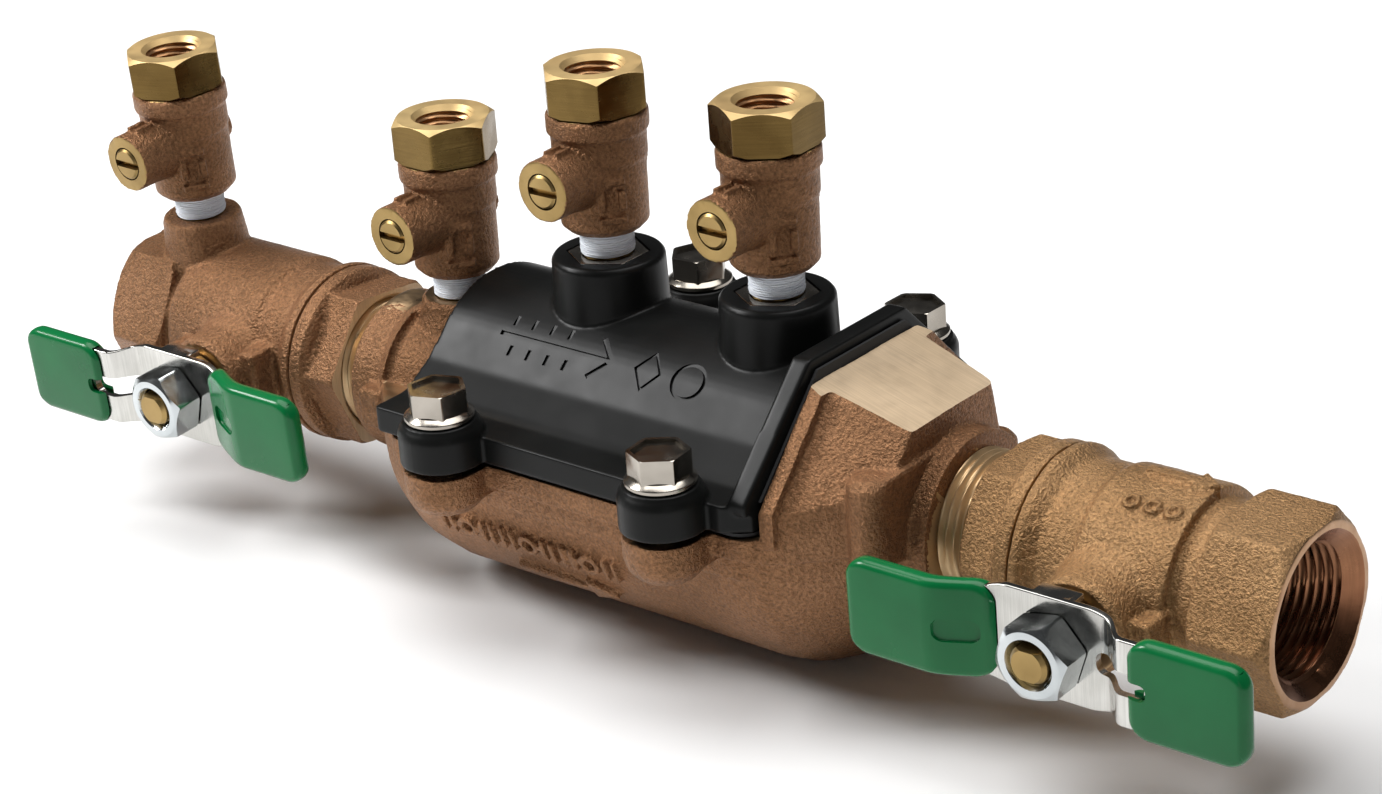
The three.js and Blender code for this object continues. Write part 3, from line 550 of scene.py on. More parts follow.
# ---- ball valves
# Each valve is drawn round its stem, which points along -Y; the female end is at negative X.
HEX_FLATS, HEX_LENGTH = 35.1, 17.2
VALVE_R, WAIST_R, SEAM_R = 19.3, 18.3, 20.2
STEM_TO_SEAM, STEM_TO_END = 20.2, 32.7
BOSS_TOP = 27
ADAPTER_FLATS, ADAPTER_LENGTH = 33.5, 8.5
WATERWAY_R, CHAMBER_R, SPIGOT_R, TAP_R = 9.4, 14.9, 14.6, 5.6
BALL_R = 13.0
PORT_R, PORT_PITCH = 12.9, 1.814  # 3/4 inch pipe thread
RAISED = 0.9  # height of the marks on a valve


def valve_blank(face, cock):
    """The outside of a valve, with a riser for a test cock or, without one, an arrow and rings."""
    hex_end = face + HEX_LENGTH
    start = hex_end + (5 if cock is None else 3)
    outline = rounded(hexagon(HEX_FLATS, pi / 6 - pi / 2), 0.7, 3, closed=True)
    shell = prism("shell", outline, face, hex_end, "X")
    meet(shell, lathe("shape", [(face, 17.7), (face + 3.0, 20.9), (hex_end - 1.6, 20.9),
                                (hex_end, 18.4)]))
    barrel = [(hex_end - 2, 17.0), (start - 0.4, 17.0), (start, VALVE_R - 0.3),
              (start + 1.2, VALVE_R), (6.4, VALVE_R), (7.9, WAIST_R), (15.2, WAIST_R),
              (18.2, SEAM_R), (STEM_TO_SEAM - 0.3, SEAM_R)]
    boss = [(-BOSS_TOP, 9.2), (-25.9, 10.0), (-20, 10.4), (-17, 11.4), (-12, 13),
            (-8, 13)]
    parts = [lathe("barrel", barrel), lathe("boss", boss, "Y", count=64),
             block("lug", -14.0, -8.2, -24.4, -12, -3.0, 5.0, bevel=0.7)]
    if cock is not None:
        riser = [(10, 10.4), (18, 9.8), (22, 9.4), (25.2, 9.1), (26.1, 8.7), (26.3, 8.2)]
        parts += [lathe("riser", riser, "Z", at=(cock, 0, 0), count=64),
                  block("rib", 8.8, 13.4, -23.6, -12, -8.0, 7.5, bevel=0.9)]
    else:
        arrow = [(-8, -1.2), (2.5, -1.2), (2.5, -3.4), (7.5, 0), (2.5, 3.4), (2.5, 1.2), (-8, 1.2)]
        parts.append(prism("arrow", [(-u - 6, v + 2) for u, v in arrow], -VALVE_R - RAISED, -12))
        leaned = Matrix.Rotation(radians(-24), 4, "X")
        for left in (-9.5, -5.0, -0.5):
            parts.append(tube("ring", -VALVE_R - RAISED, -12, 0.9, 1.8, "Z", at=(left, 0, 0),
                              place=leaned, count=24))
    return join(shell, *parts)


def valve_casting(prefix, face, place, cock, bronze):
    shell = valve_blank(face, cock)
    move(shell, place)
    soften(shell, 0.4, 2)
    roughen(shell, [(1.5, 0.05), (0.8, 0.04), (9, 0.1)], seed=face)
    cutters = [
        rod("face", face - 4, face, 30, place=place),
        lathe("bevel", [(face - 1, 17.3), (face + 3.1, 13.0)],
              place=place),
        thread("thread", face + 1.0, face + 17.5, PORT_R, 1.0, PORT_PITCH, place=place, taper=-0.4,
               count=96),
        lathe("way", [(face + 10, WATERWAY_R), (-13.8, WATERWAY_R),
                      (-13.8, CHAMBER_R), (STEM_TO_SEAM + 1, CHAMBER_R)],
              place=place),
        lathe("stem_hole", [(-30, 5.8), (-20.5, 5.8), (-20.5, 4.3), (-8, 4.3)],
              "Y", place=place, count=48),
        rod("boss_face", -30, -BOSS_TOP, 12, "Y", place=place, count=48),
    ]
    if cock is not None:
        cutters.append(rod("tap", 5, 30, TAP_R, "Z", at=(cock, 0, 0), place=place, count=48))
    cut(shell, *cutters)
    shell.name = f"{prefix}_valve_casting"
    bore = (BRONZE_BORE, lambda p, n: 9 < hypot(p.y, p.z) < 17.1 and n.x < 0.9
            and p.x < face + 17.6 and p.y * n.y + p.z * n.z < 0)
    end_face = (BRONZE_FACE, lambda p, n: p.x < face + 0.4 and n.x < -0.85)
    boss_face = (BRONZE_CUT, lambda p, n: p.y < 0.1 - BOSS_TOP and n.y < -0.9)
    finish(shell, 32, "assembly", "cast_bronze", f"{prefix}_valve_body", bronze, bore, end_face,
           boss_face, place=place)


def valve_adapter(prefix, place, machined_end, bronze, turn):
    """The hexagon that closes a valve, and its spigot inside the valve body."""
    start, end = STEM_TO_END - ADAPTER_LENGTH, STEM_TO_END
    outline = rounded(hexagon(ADAPTER_FLATS, turn), 0.6, 3, closed=True)
    ring = prism("ring", outline, start - 1, end + 0.4, "X")
    brink = [(end - 1.9, 20), (end, 17.2)]
    if machined_end:
        brink = [(end - 0.7, 19.3), (end + 0.3, 18.4)]
    meet(ring, lathe("round", [(start - 1, 0), (start - 1, 18.6), (start + 0.8, 20), *brink,
                               (brink[1][0], 0)]))
    collar = [(STEM_TO_SEAM, 0), (STEM_TO_SEAM, SEAM_R - 0.2), (start - 0.6, SEAM_R - 0.2),
              (start + 0.4, 18.2), (start + 0.4, 0)]
    join(ring, lathe("collar", rounded(collar, 0.5)),
         rod("spigot", 13.4, STEM_TO_SEAM + 1, SPIGOT_R))
    move(ring, place)
    soften(ring, 0.38, 2)
    roughen(ring, [(1.6, 0.05), (0.8, 0.04)], seed=3.3,
            keep=lambda p: (place.inverted() @ p).x < STEM_TO_SEAM + 0.5)
    cut(ring,
        rod("trim", end, end + 3, 30, place=place),
        lathe("bore", [(12, WATERWAY_R), (end - 9, WATERWAY_R), (end - 9, CHAMBER_R),
                       (end - 1, CHAMBER_R), (end + 1, 16.9)], place=place))
    ring.name = f"{prefix}_adapter_casting"
    hidden = (BRONZE_CUT, lambda p, n: p.x < STEM_TO_SEAM + 0.2 or hypot(p.y, p.z) < 15)
    end_face = (PAD_CUT if machined_end else bronze, lambda p, n: p.x > end - 0.5 and n.x > 0.8
                or p.x > end - 1.6 and hypot(p.y, p.z) < 16.3)
    finish(ring, 32, "assembly", "cast_bronze", f"{prefix}_valve_adapter", bronze, hidden, end_face,
           place=place)


def ball(prefix, place):
    """A ball with its waterway along the pipe and a slot for the tang of the stem."""
    lip = sqrt(BALL_R ** 2 - WATERWAY_R ** 2)
    profile = [(-lip, WATERWAY_R)]
    for k in range(1, 24):
        a = -lip + 2 * lip * k / 24
        profile.append((a, sqrt(BALL_R ** 2 - a ** 2)))
    profile.append((lip, WATERWAY_R))
    obj = lathe(f"{prefix}_ball_polished", profile, place=place, count=72, ring=True)
    cut(obj, block("slot", -4.6, 4.6, -14, -10.2, -1.9, 1.9, place=place))
    finish(obj, 30, f"{prefix}_handle", "machined_brass", f"{prefix}_ball", ZINC)


# ---- handles
PLATE_BACK, PLATE_THICK, PLATE_STEP = 33.4, 1.6, 4.4
PLATE_FRONT = PLATE_BACK + PLATE_THICK
PLATE_ENDS = (-41.6, 40.4)
BENDS = (-17.4, -11.6, 11.0, 25.0)  # where the two bends begin and end
GRIPS = (("long", -43.8, -19.0), ("short", 11.5, 42.6))
SLEEVE, SLEEVE_GAP = 1.3, 0.25  # vinyl outside the plate, and air inside the vinyl
NUT_FACE, EYE_R = 42.4, 4.3


def smoothstep(t):
    t = min(1.0, max(0.0, t))
    return t * t * (3 - 2 * t)


def strip_y(x):
    """How far the plate stands in front of its own middle."""
    a, b, c, d = BENDS
    return -PLATE_STEP * (smoothstep((b - x) / (b - a)) + smoothstep((x - c) / (d - c)))


def swept_plate(name, x0, x1, half_at, near, far, place, corner=0.0, edge=0.5, steps=90):
    """A plate that follows the stepped line of the handle, with rounded edges all round.

    half_at(x) is half its height; near and far are its faces' distances from the pipe axis.
    """
    points, faces = [], []
    for i in range(steps + 1):
        x = x0 + (x1 - x0) * i / steps
        reach = min(x - x0, x1 - x)
        inset, squeeze = 0.0, 1.0
        if reach < corner:
            inset = corner - sqrt(max(0.0, corner ** 2 - (corner - reach) ** 2))
        if reach < edge:
            squeeze = max(0.15, sqrt(max(0.0, 1 - (1 - reach / edge) ** 2)))
        half = max(0.4, half_at(x) - inset)
        y_near, y_far = strip_y(x) - near, strip_y(x) - far
        middle, thick = (y_near + y_far) / 2, abs(y_far - y_near) / 2 * squeeze
        outline = rounded([(middle - thick, -half), (middle + thick, -half),
                           (middle + thick, half), (middle - thick, half)],
                          min(edge, thick * 0.98), 4, closed=True)
        points += [(x, y, z) for y, z in outline]
    count = len(outline)
    for i in range(steps):
        for k in range(count):
            n = (k + 1) % count
            faces.append((i * count + k, i * count + n, (i + 1) * count + n, (i + 1) * count + k))
    faces.append(tuple(range(count)))
    faces.append(tuple(steps * count + k for k in range(count))[::-1])
    return make(name, points, faces, place)


def handle_plate(prefix, place):
    def half(x):
        return 10.4 - 1.6 * smoothstep((abs(x - 0.5) - 8.5) / 8)

    plate = swept_plate(f"{prefix}_handle_pressing", *PLATE_ENDS, half, PLATE_BACK, PLATE_FRONT,
                        place, 3.0, 0.35, 120)
    join(plate, *[block("tab", -4.5, 4.5, -PLATE_BACK - 0.8, -PLATE_BACK + 3.2, low, low + 1.6,
                        place=place, bevel=0.4) for low in (8.8, -10.4)])
    cut(plate,
        rod("eye", -60, -20, EYE_R, "Y", place=place, count=48),
        prism("slot", round_rect(-22.5, -9.6, -2.3, 2.3, 2.2), -60, -20, "Y", place=place))
    finish(plate, 35, f"{prefix}_handle", "stamped_steel", f"{prefix}_handle_plate", STEEL)


def grip(prefix, place, tag, x0, x1):
    """A vinyl sleeve, open toward the stem; the long one is notched and the short one dented."""
    skin = swept_plate(f"{prefix}_{tag}_sleeve", x0, x1, lambda x: 10.0, PLATE_BACK - SLEEVE,
                       PLATE_FRONT + SLEEVE, place, 4.8, 1.9, 110)
    inner = (x0 - 2, x1 - 1.8) if tag == "short" else (x0 + 1.8, x1 + 2)
    hollow = swept_plate("hollow", *inner, lambda x: 9.05, PLATE_BACK - SLEEVE_GAP,
                         PLATE_FRONT + SLEEVE_GAP, place, 0.0, 0.2, 90)
    if tag == "short":
        mark = swept_plate("dent", 14.0, 23.0, lambda x: 2.4, PLATE_FRONT + 0.6, PLATE_FRONT + 4.0,
                           place, 2.3, 0.3, 30)
    else:
        mark = prism("bite", round_rect(-23.5, -9.6, -1.7, 1.7, 1.6), -60, -20, "Y", place=place)
    cut(skin, hollow, mark)
    finish(skin, 40, f"{prefix}_handle", "green_vinyl", f"{prefix}_grip_{tag}", GREEN)


def handle_nut(prefix, place):
    back = -PLATE_FRONT - 0.3
    nut = prism(f"{prefix}_handle_hex_nut", rounded(hexagon(14.0, 0.2), 0.35, 2, closed=True),
                -NUT_FACE, back, "Y", place=place)
    meet(nut, lathe("chamfer", [(-NUT_FACE, 6.6), (-41.2, 8.4), (back - 0.4, 8.4),
                                (back, 7.6)], "Y", place=place))
    cut(nut, thread("tap", -45, -30, EYE_R, 0.35, 1.0, "Y", place=place, count=48),
        lathe("mouth", [(-44, 6.2), (-41.3, 4.4)], "Y", place=place,
              count=48))
    finish(nut, 30, f"{prefix}_handle", "zinc_plate", f"{prefix}_handle_nut", ZINC)


def valve_stem(prefix, place):
    """The stem, with flats at the nut and a tang in the ball, and the gland round it."""
    stem = lathe(f"{prefix}_brass_stem", [(-43.0, 3.3), (-42.2, 4.0), (-30, 4.0),
                                          (-13.4, 4.0)], "Y", place=place, count=48)
    join(stem, block("tang", -3.2, 3.2, -14.4, -10.6, -1.5, 1.5, place=place))
    cut(stem, *[block("flat", -5, 5, -45, -39.8, low, low + 3, place=place) for low in (3.0, -6)])
    finish(stem, 30, f"{prefix}_handle", "machined_brass", f"{prefix}_valve_stem", BRASS_FACE)
    profile = [(-31, 4.3), (-31, 6.2), (-30.4, 6.8), (-27.3, 6.8), (-27.3, 5.5), (-21, 5.5),
               (-21, 4.3)]
    gland = lathe(f"{prefix}_gland_nut", rounded(profile, 0.2, 3, closed=True), "Y", place=place,
                  count=64, ring=True)
    finish(gland, 30, "assembly", "machined_brass", f"{prefix}_packing_gland", BRASS_FACE)


for side, valve, face_x, cock_x, skin, adapter_turn in (
        ("inlet", INLET, -INLET_STEM_X, INLET_COCK_X - INLET_STEM_X, BRONZE, 0.888),
        ("outlet", OUTLET, -OUTLET_STEM_REACH, None, BRONZE_GOLD, 0.0)):
    valve_casting(side, face_x, valve, cock_x, skin)
    valve_adapter(side, valve, side == "inlet", skin, adapter_turn)
    ball(side, valve)
    handle_plate(side, valve)
    for end_tag, end_x0, end_x1 in GRIPS:
        grip(side, valve, end_tag, end_x0, end_x1)
    handle_nut(side, valve)
    valve_stem(side, valve)

# ---- test cocks
# Each cock is drawn upright on the end of its nipple, with its slotted stem toward -Y.
STEM_Z, STEM_REACH = 18.8, 18.2
NIPPLE_PITCH, COCK_PITCH = 0.94, 1.411  # 1/8 inch and 1/4 inch pipe thread
COCK_WAY_R = 2.6
CAP_FOOT, CAP_TOP, CAP_FLATS = 31.5, 40.5, 19.9
AT_STEM = (0, 0, STEM_Z)


def cock_blank():
    barrel = [(-2, 4.6), (5.2, 4.6), (5.6, 7.6), (7.2, 9.2), (20.4, 9.4), (21.2, 9.85),
              (26.4, 9.9), (27.2, 10.6), (30.5, 10.6), (31.2, 10.1)]
    boss = [(-STEM_REACH, 6.5), (-13, 6.5), (-9, 6.8), (-5, 8.0), (0, 8.0)]
    marks = ((-2.9, 2.9, 9.2, 10.6), (-2.9, -1.4, 12.0, 16.0), (1.4, 2.9, 12.0, 16.0),
             (-2.9, 2.9, 17.4, 18.8))
    aside = Matrix.Rotation(radians(-38), 4, "Z")
    shell = lathe("shell", barrel, "Z", count=96)
    return join(shell, lathe("boss", boss, "Y", at=AT_STEM, count=64),
                lathe("rib", [(0, 5.0), (10.0, 4.2)], "Y", at=AT_STEM, count=48),
                block("mark", -1.9, -0.8, -15, -10.5, STEM_Z + 4, STEM_Z + 7.4),
                block("mark", 0.8, 1.9, -15, -10.5, STEM_Z + 4, STEM_Z + 7.4),
                *[block("mark", 7.6, 10.2, *mark, place=aside) for mark in marks])


def cock_body(tag, turn):
    shell = cock_blank()
    move(shell, turn)
    soften(shell, 0.34, 2)
    roughen(shell, [(1.3, 0.05), (0.65, 0.04), (6, 0.06)], seed=float(tag) * 2.1)
    cut(shell,
        lathe("way", [(-9, COCK_WAY_R), (24.6, COCK_WAY_R), (24.6, 7.7), (32, 7.7)], "Z",
              place=turn, count=48),
        rod("top", 31.2, 34, 14, "Z", place=turn, count=48),
        rod("bore", -30, 5.2, 3.9, "Y", at=AT_STEM, place=turn, count=48),
        rod("face", -22, -STEM_REACH, 9, "Y", at=AT_STEM, place=turn, count=48),
        rod("foot", -10, 5.5, 9, "Z", place=turn, count=48))
    nipple = thread("nipple", -7, 6.2, 4.75, 0.4, NIPPLE_PITCH, "Z", place=turn, count=48, fade=0.8)
    cut(nipple, rod("way", -9, 24, COCK_WAY_R, "Z", place=turn, count=48))
    join(shell, nipple)
    shell.name = f"cock_{tag}_casting"
    cut_faces = (BRASS_FACE, lambda p, n: p.y < 0.1 - STEM_REACH and n.y < -0.9 or p.z < 5.4
                 or p.z > 31.1 or p.y < -3 and hypot(p.x, p.z - STEM_Z) < 3.95)
    finish(shell, 32, "assembly", "cast_bronze", f"cock_{tag}_body", BRONZE, cut_faces, place=turn)


def cock_cap(tag, turn, hex_turn):
    outline = rounded(hexagon(CAP_FLATS, hex_turn), 0.5, 3, closed=True)
    cap = prism("cap", outline, CAP_FOOT, CAP_TOP, "Z", place=turn)
    meet(cap, lathe("chamfer", [(CAP_FOOT, 10.4), (32.5, 11.7), (39.2, 11.7),
                                (CAP_TOP, 9.9)], "Z", place=turn))
    join(cap, rod("spigot", 25, 33, 7.4, "Z", place=turn))
    cut(cap, thread("thread", 29, 41.5, 5.45, 0.62, COCK_PITCH, "Z", place=turn, taper=0.25),
        lathe("mouth", [(39.3, 5.7), (40.5, 6.8), (42, 6.9)], "Z", place=turn),
        rod("way", 24, 30, 2.8, "Z", place=turn, count=48))
    cap.name = f"cock_{tag}_hex_cap"
    bore = (COPPER_BORE, lambda p, n: hypot(p.x, p.y) < 6.4)
    rim = (BRASS_RIM, lambda p, n: p.z > 38.9 and (n.z > 0.3 or hypot(p.x, p.y) < 7))
    finish(cap, 30, "assembly", "machined_brass", f"cock_{tag}_cap", BRASS, bore, rim, place=turn)


def cock_stem(tag, turn):
    front = -STEM_REACH - 0.4
    profile = [(front, 3.1), (front + 0.4, 3.6), (4.6, 3.6)]
    stem = lathe(f"cock_{tag}_slotted_stem", profile, "Y", at=AT_STEM, place=turn, count=48)
    slot = block("slot", -5, 5, front - 1, front + 1.6, STEM_Z - 0.75, STEM_Z + 0.75, place=turn)
    cut(stem, slot,
        rod("cross", -6, 6, 2.3, "X", at=AT_STEM, place=turn, count=32))
    finish(stem, 30, f"cock_{tag}_plug", "machined_brass", f"cock_{tag}_stem", BRASS_FACE)


def cock_tape(tag, turn):
    """White tape round the nipple, wavy where its turns overlap."""
    inner_r, low, high, rows = 5.38, 0.3, 5.15, 30
    profile = [(low, inner_r)]
    for k in range(rows):
        z = 0.35 + 4.7 * k / (rows - 1)
        profile.append((z, 5.62 + 0.1 * sin(k * 2.1) + 0.05 * sin(k * 5.3)))
    profile.append((high, inner_r))

    def wrap(along, angle, radius):
        if radius < 5.45:
            return 0.0
        spot = Vector((3 * cos(angle), 3 * sin(angle), along * 1.8 + float(tag)))
        return 0.13 * noise.noise(spot)

    tape = lathe(f"cock_{tag}_tape_wrap", profile, "Z", place=turn, count=72, ripple=wrap,
                 ring=True)
    finish(tape, 60, "assembly", "white_thread_tape", f"cock_{tag}_thread_tape", TAPE)


# For each cock: its foot, how far it swings about its own axis, and how its cap came to rest.
COCKS = {
    "1": (INLET @ Matrix.Translation((INLET_COCK_X - INLET_STEM_X, 0, 26.3)), -0.028, 0.36),
    "2": (BODY @ Matrix.Translation((RISER_X, COCK_SIDE, 21.6)), -0.028, 0.0),
    "3": (BODY @ Matrix.Translation((POST_X[0], COCK_SIDE, POST_TOP)), 0.0, 0.25),
    "4": (BODY @ Matrix.Translation((POST_X[1], COCK_SIDE, POST_TOP)), -0.028, 0.6),
}
for cock_tag, (cock_place, cock_swing, cap_turn) in COCKS.items():
    cock_turn = cock_place @ Matrix.Rotation(cock_swing, 4, "Z")
    cock_body(cock_tag, cock_turn)
    cock_cap(cock_tag, cock_turn, cap_turn)
    cock_stem(cock_tag, cock_turn)
    cock_tape(cock_tag, cock_turn)

# ---- main body
BODY_START, BODY_END, TUB_R, DECK, COLLAR_R = 80.6, 235.0, 35.0, 5.6, 18.0
FLANGE_START, FLANGE_END, LUG_X = 209, 212.4, 227
NECK_R, NECK_BORE_R = 13.9, 10.2
COVER_START, COVER_END, FLANGE_TOP, COVER_BOTTOM = 110.2, 207.8, 12.6, 6.9
BOLTS = [(x, y) for y in (-41.9, 41.9) for x in (132.0, 190.5)]
CHECK_WEBS = (128, 172)
FAR = 60  # well outside the casting, for cutters


def body_blank():
    """The outside of the casting, placed in the shared frame."""
    tub = [(BODY_START, 0), (BODY_START, COLLAR_R - 0.6), (BODY_START + 7, 17.2), (91, 19),
           (95, 22.6), (99, 26.6), (104, 30.9), (110, 33.8), (117, TUB_R), (200, TUB_R),
           (206, 34.3), (212, 31.6), (217, 27.8), (222, 23.4), (227, 19.8), (232, 18.0),
           (BODY_END, 18.0), (BODY_END, 0)]
    shell = lathe("shell", rounded(tub, 6, 4), count=128)
    cut(shell, block("top", 91, FLANGE_START, -FAR, FAR, DECK, FAR))
    neck = [(BODY_START, COLLAR_R - 0.2), (BODY_START + 1.5, COLLAR_R),
            (BODY_START + 6, 17.4), (109.2, 17.4)]
    rim = rounded([(COVER_START, -38.2), (209.5, -38.2), (209.5, 38.2), (COVER_START, 38.2)], 6, 6,
                  closed=True)
    under = rounded([(COVER_START + 3, -35.6), (208, -35.6), (208, 35.6), (COVER_START + 3, 35.6)],
                    9, 6, closed=True)
    parts = [lathe("neck", neck), prism("rim", rim, 0.8, DECK), prism("under", under, -5, 3)]
    ear = [(-4.2, 4.2), (-3.2, 6.2), (-1.4, 7.8), (0.8, 8.5), (DECK, 8.6)]
    for x, y in BOLTS:
        low, high = sorted((y, copysign(28, y)))
        parts += [lathe("ear", ear, "Z", at=(x, y, 0), count=64),
                  block("web", x - 8.4, x + 8.4, low, high, -0.8, DECK)]
    flange = [(-35.8, 4), (35.8, 4), (35.8, 11.6), (15.0, 33.8), (-15.0, 33.8), (-35.8, 11.6)]
    parts.append(prism("end_flange", flange, FLANGE_START, FLANGE_END, "X"))
    saddle = []
    for side in (-1, 1):
        saddle += [(209, side * 14.9, 32.1), (209, side * 36, 9.5), (209, side * 36, 0)]
        saddle += [(230, side * 12.7, 25.8), (230, side * 13.1, 0)]
    saddle += [(229.6, -21.5, 15.2), (229.6, -21.5, 2), (229.6, 16.5, 11), (229.6, 16.5, 0)]
    parts.append(hull("saddle", saddle))
    for y, foot, shoulder, top, web in ((-24.2, 0, 17.2, 18.9, (-24.2, -6, 0, 18.6)),
                                        (18.2, -2, 10.2, 11.8, (6, 18.2, -2, 11.4))):
        lug = [(foot, 4.2), (shoulder, 4.2), (top, 2.6)]
        parts += [lathe("lug", lug, "Z", at=(LUG_X, y, 0), count=48),
                  block("lug_web", 222.8, 231.2, *web)]
    collar = [(222, COLLAR_R), (BODY_END, COLLAR_R)]
    parts.append(lathe("collar", collar, at=(0, 0, OUTLET_RISE)))
    riser = [(4, 11), (15, 10.0), (18.4, 8.9), (20.9, 8.5), (21.6, 7.7)]
    parts += [lathe("riser", riser, "Z", at=(RISER_X, COCK_SIDE, 0), count=64),
              block("wrench_lug", 86.5, 93, -21.6, -8, -4.2, 4.6, bevel=0.8),
              block("wrench_lug", 86.5, 93, 8, 21.6, -4.2, 4.6, bevel=0.8)]
    join(shell, *parts)
    shell.data.transform(Matrix.Translation((BODY_X * MM, 0, 0)))
    return shell


def body_marks():
    """Raised bars, rings and a flow arrow on the front of the tub."""
    upper = BODY @ Matrix.Rotation(radians(21), 4, "X")
    lower = BODY @ Matrix.Rotation(radians(36), 4, "X")
    front, root = -36.6, -30
    arrow = [(138, -0.9), (158, -0.9), (158, -3.4), (166, 0), (158, 3.4), (158, 0.9), (138, 0.9)]
    marks = [prism("arrow", arrow, front, root, "Y", place=lower)]
    for k in range(9):
        left = 121 + 5.6 * k
        if k % 3 == 1:
            marks.append(tube("ring", front, root, 1.3, 2.7, "Y", at=(left + 2, 0, 0), place=upper,
                              count=32))
        else:
            marks += [block("bar", x, x + 1.3, front, root, -2.7, 2.7, place=upper)
                      for x in (left, left + 2.6)]
    return marks


def chamber():
    profile = [(112, 17), (116, 28), (120, 31), (198, 31), (204, 29), (210, 20),
               (213, 14)]
    cavity = lathe("cavity", profile, place=BODY, count=96)
    meet(cavity, block("below", 100, 230, -FAR, FAR, -FAR, 18))
    end_window = [(-26, 2), (26, 2), (10, 27.5), (-10, 27.5)]
    return join(cavity,
                prism("window", round_rect(115, 205, -30.5, 30.5, 8), -2, 12, place=BODY),
                prism("end_window", end_window, 204, 213, "X", place=BODY),
                rod("bore", 40, 200, NECK_BORE_R, place=BODY),
                rod("bore", 190, 270, NECK_BORE_R, at=(0, 0, OUTLET_RISE), place=BODY))


def body_cutters():
    pad = [(205, 32.3), (240, 21.7), (240, FAR), (205, FAR)]
    cutters = [
        prism("pad", pad, -FAR, FAR, "Y", place=BODY),
        block("flange_trim", 190, FLANGE_START - 0.1, -FAR, FAR, DECK, FAR, place=BODY),
        block("deck", COVER_START - 1.2, 200, -FAR, FAR, DECK, FAR, place=BODY),
        chamber(),
    ]
    for x, y in BOLTS:
        cutters.append(rod("bolt_hole", -4.2, 30, 3.3, "Z", at=(x, y, 0), place=BODY, count=32))
    cutters += [
        rod("tap", 5, 30, TAP_R, "Z", at=(RISER_X, COCK_SIDE, 0), place=BODY, count=48),
        rod("end_trim", BODY_END, BODY_END + 4, 40, place=BODY),
        rod("start_trim", BODY_START - 4, BODY_START, 40, place=BODY),
    ]
    return cutters


def neck_threads():
    """The male threads at both ends, hollow for the waterway."""
    screws = []
    for name, low, high, rise in (("inlet_thread", BODY_START - 12.9, BODY_START + 1, 0),
                                  ("outlet_thread", BODY_END - 1, BODY_END + 15.5, OUTLET_RISE)):
        screw = thread(name, low, high, NECK_R, 0.9, PORT_PITCH, at=(0, 0, rise), place=BODY,
                       count=96, fade=1.2)
        cut(screw, rod("bore", 40, 270, NECK_BORE_R, at=(0, 0, rise), place=BODY))
        screws.append(screw)
    return screws


def check_webs():
    """The two walls across the chamber that hold the checks."""
    webs = []
    for x in CHECK_WEBS:
        low, high = x - 2.5, x + 2.5
        disc = rod("disc", low, high, 33, place=BODY)
        meet(disc, block("low", 100, 220, -FAR, FAR, -FAR, DECK))
        join(disc, rod("high", low, high, 18.6, place=BODY))
        cut(disc, rod("hole", x - 5, x + 5, 12.4, place=BODY))
        webs.append(disc)
    return webs


def main_casting():
    shell = body_blank()
    join(shell, *body_marks())
    soften(shell, 0.5, 2)
    roughen(shell, [(1.6, 0.06), (0.9, 0.05), (11, 0.15)], seed=5.0)
    cut(shell, *body_cutters())
    join(shell, *neck_threads())
    join(shell, *check_webs())
    shell.name = "main_casting"
    pad_normal = Vector((6.3, 0, 21.0)).normalized()

    def on_edge(p, n):
        on_end = 208.8 < p.x - BODY_X < 209.05 and n.x < -0.9
        on_deck = p.z > DECK - 0.06 and n.z > 0.95 and p.x - BODY_X < FLANGE_START
        return on_end or on_deck

    def on_neck(p, n):
        x = p.x - BODY_X
        return hypot(p.y, p.z) < 17.0 and (x < BODY_START + 0.05 or x > BODY_END - 0.05)

    pad = (PAD_CUT, lambda p, n: 209 < p.x - BODY_X < 240 and n.dot(pad_normal) > 0.995
           and p.z > 20)
    finish(shell, 30, "assembly", "cast_bronze", "main_body", BRONZE, pad, (BRONZE_CUT, on_edge),
           (THREAD_CUT, on_neck))


main_casting()

# ---- cover
ARCH_R, ARCH_Z = 23.5, 6.5  # outside of the arch, and the height of its axis
ENGRAVED_R = 23.0  # floor of the marks cut into it
INSERT_TURN = pi / 6


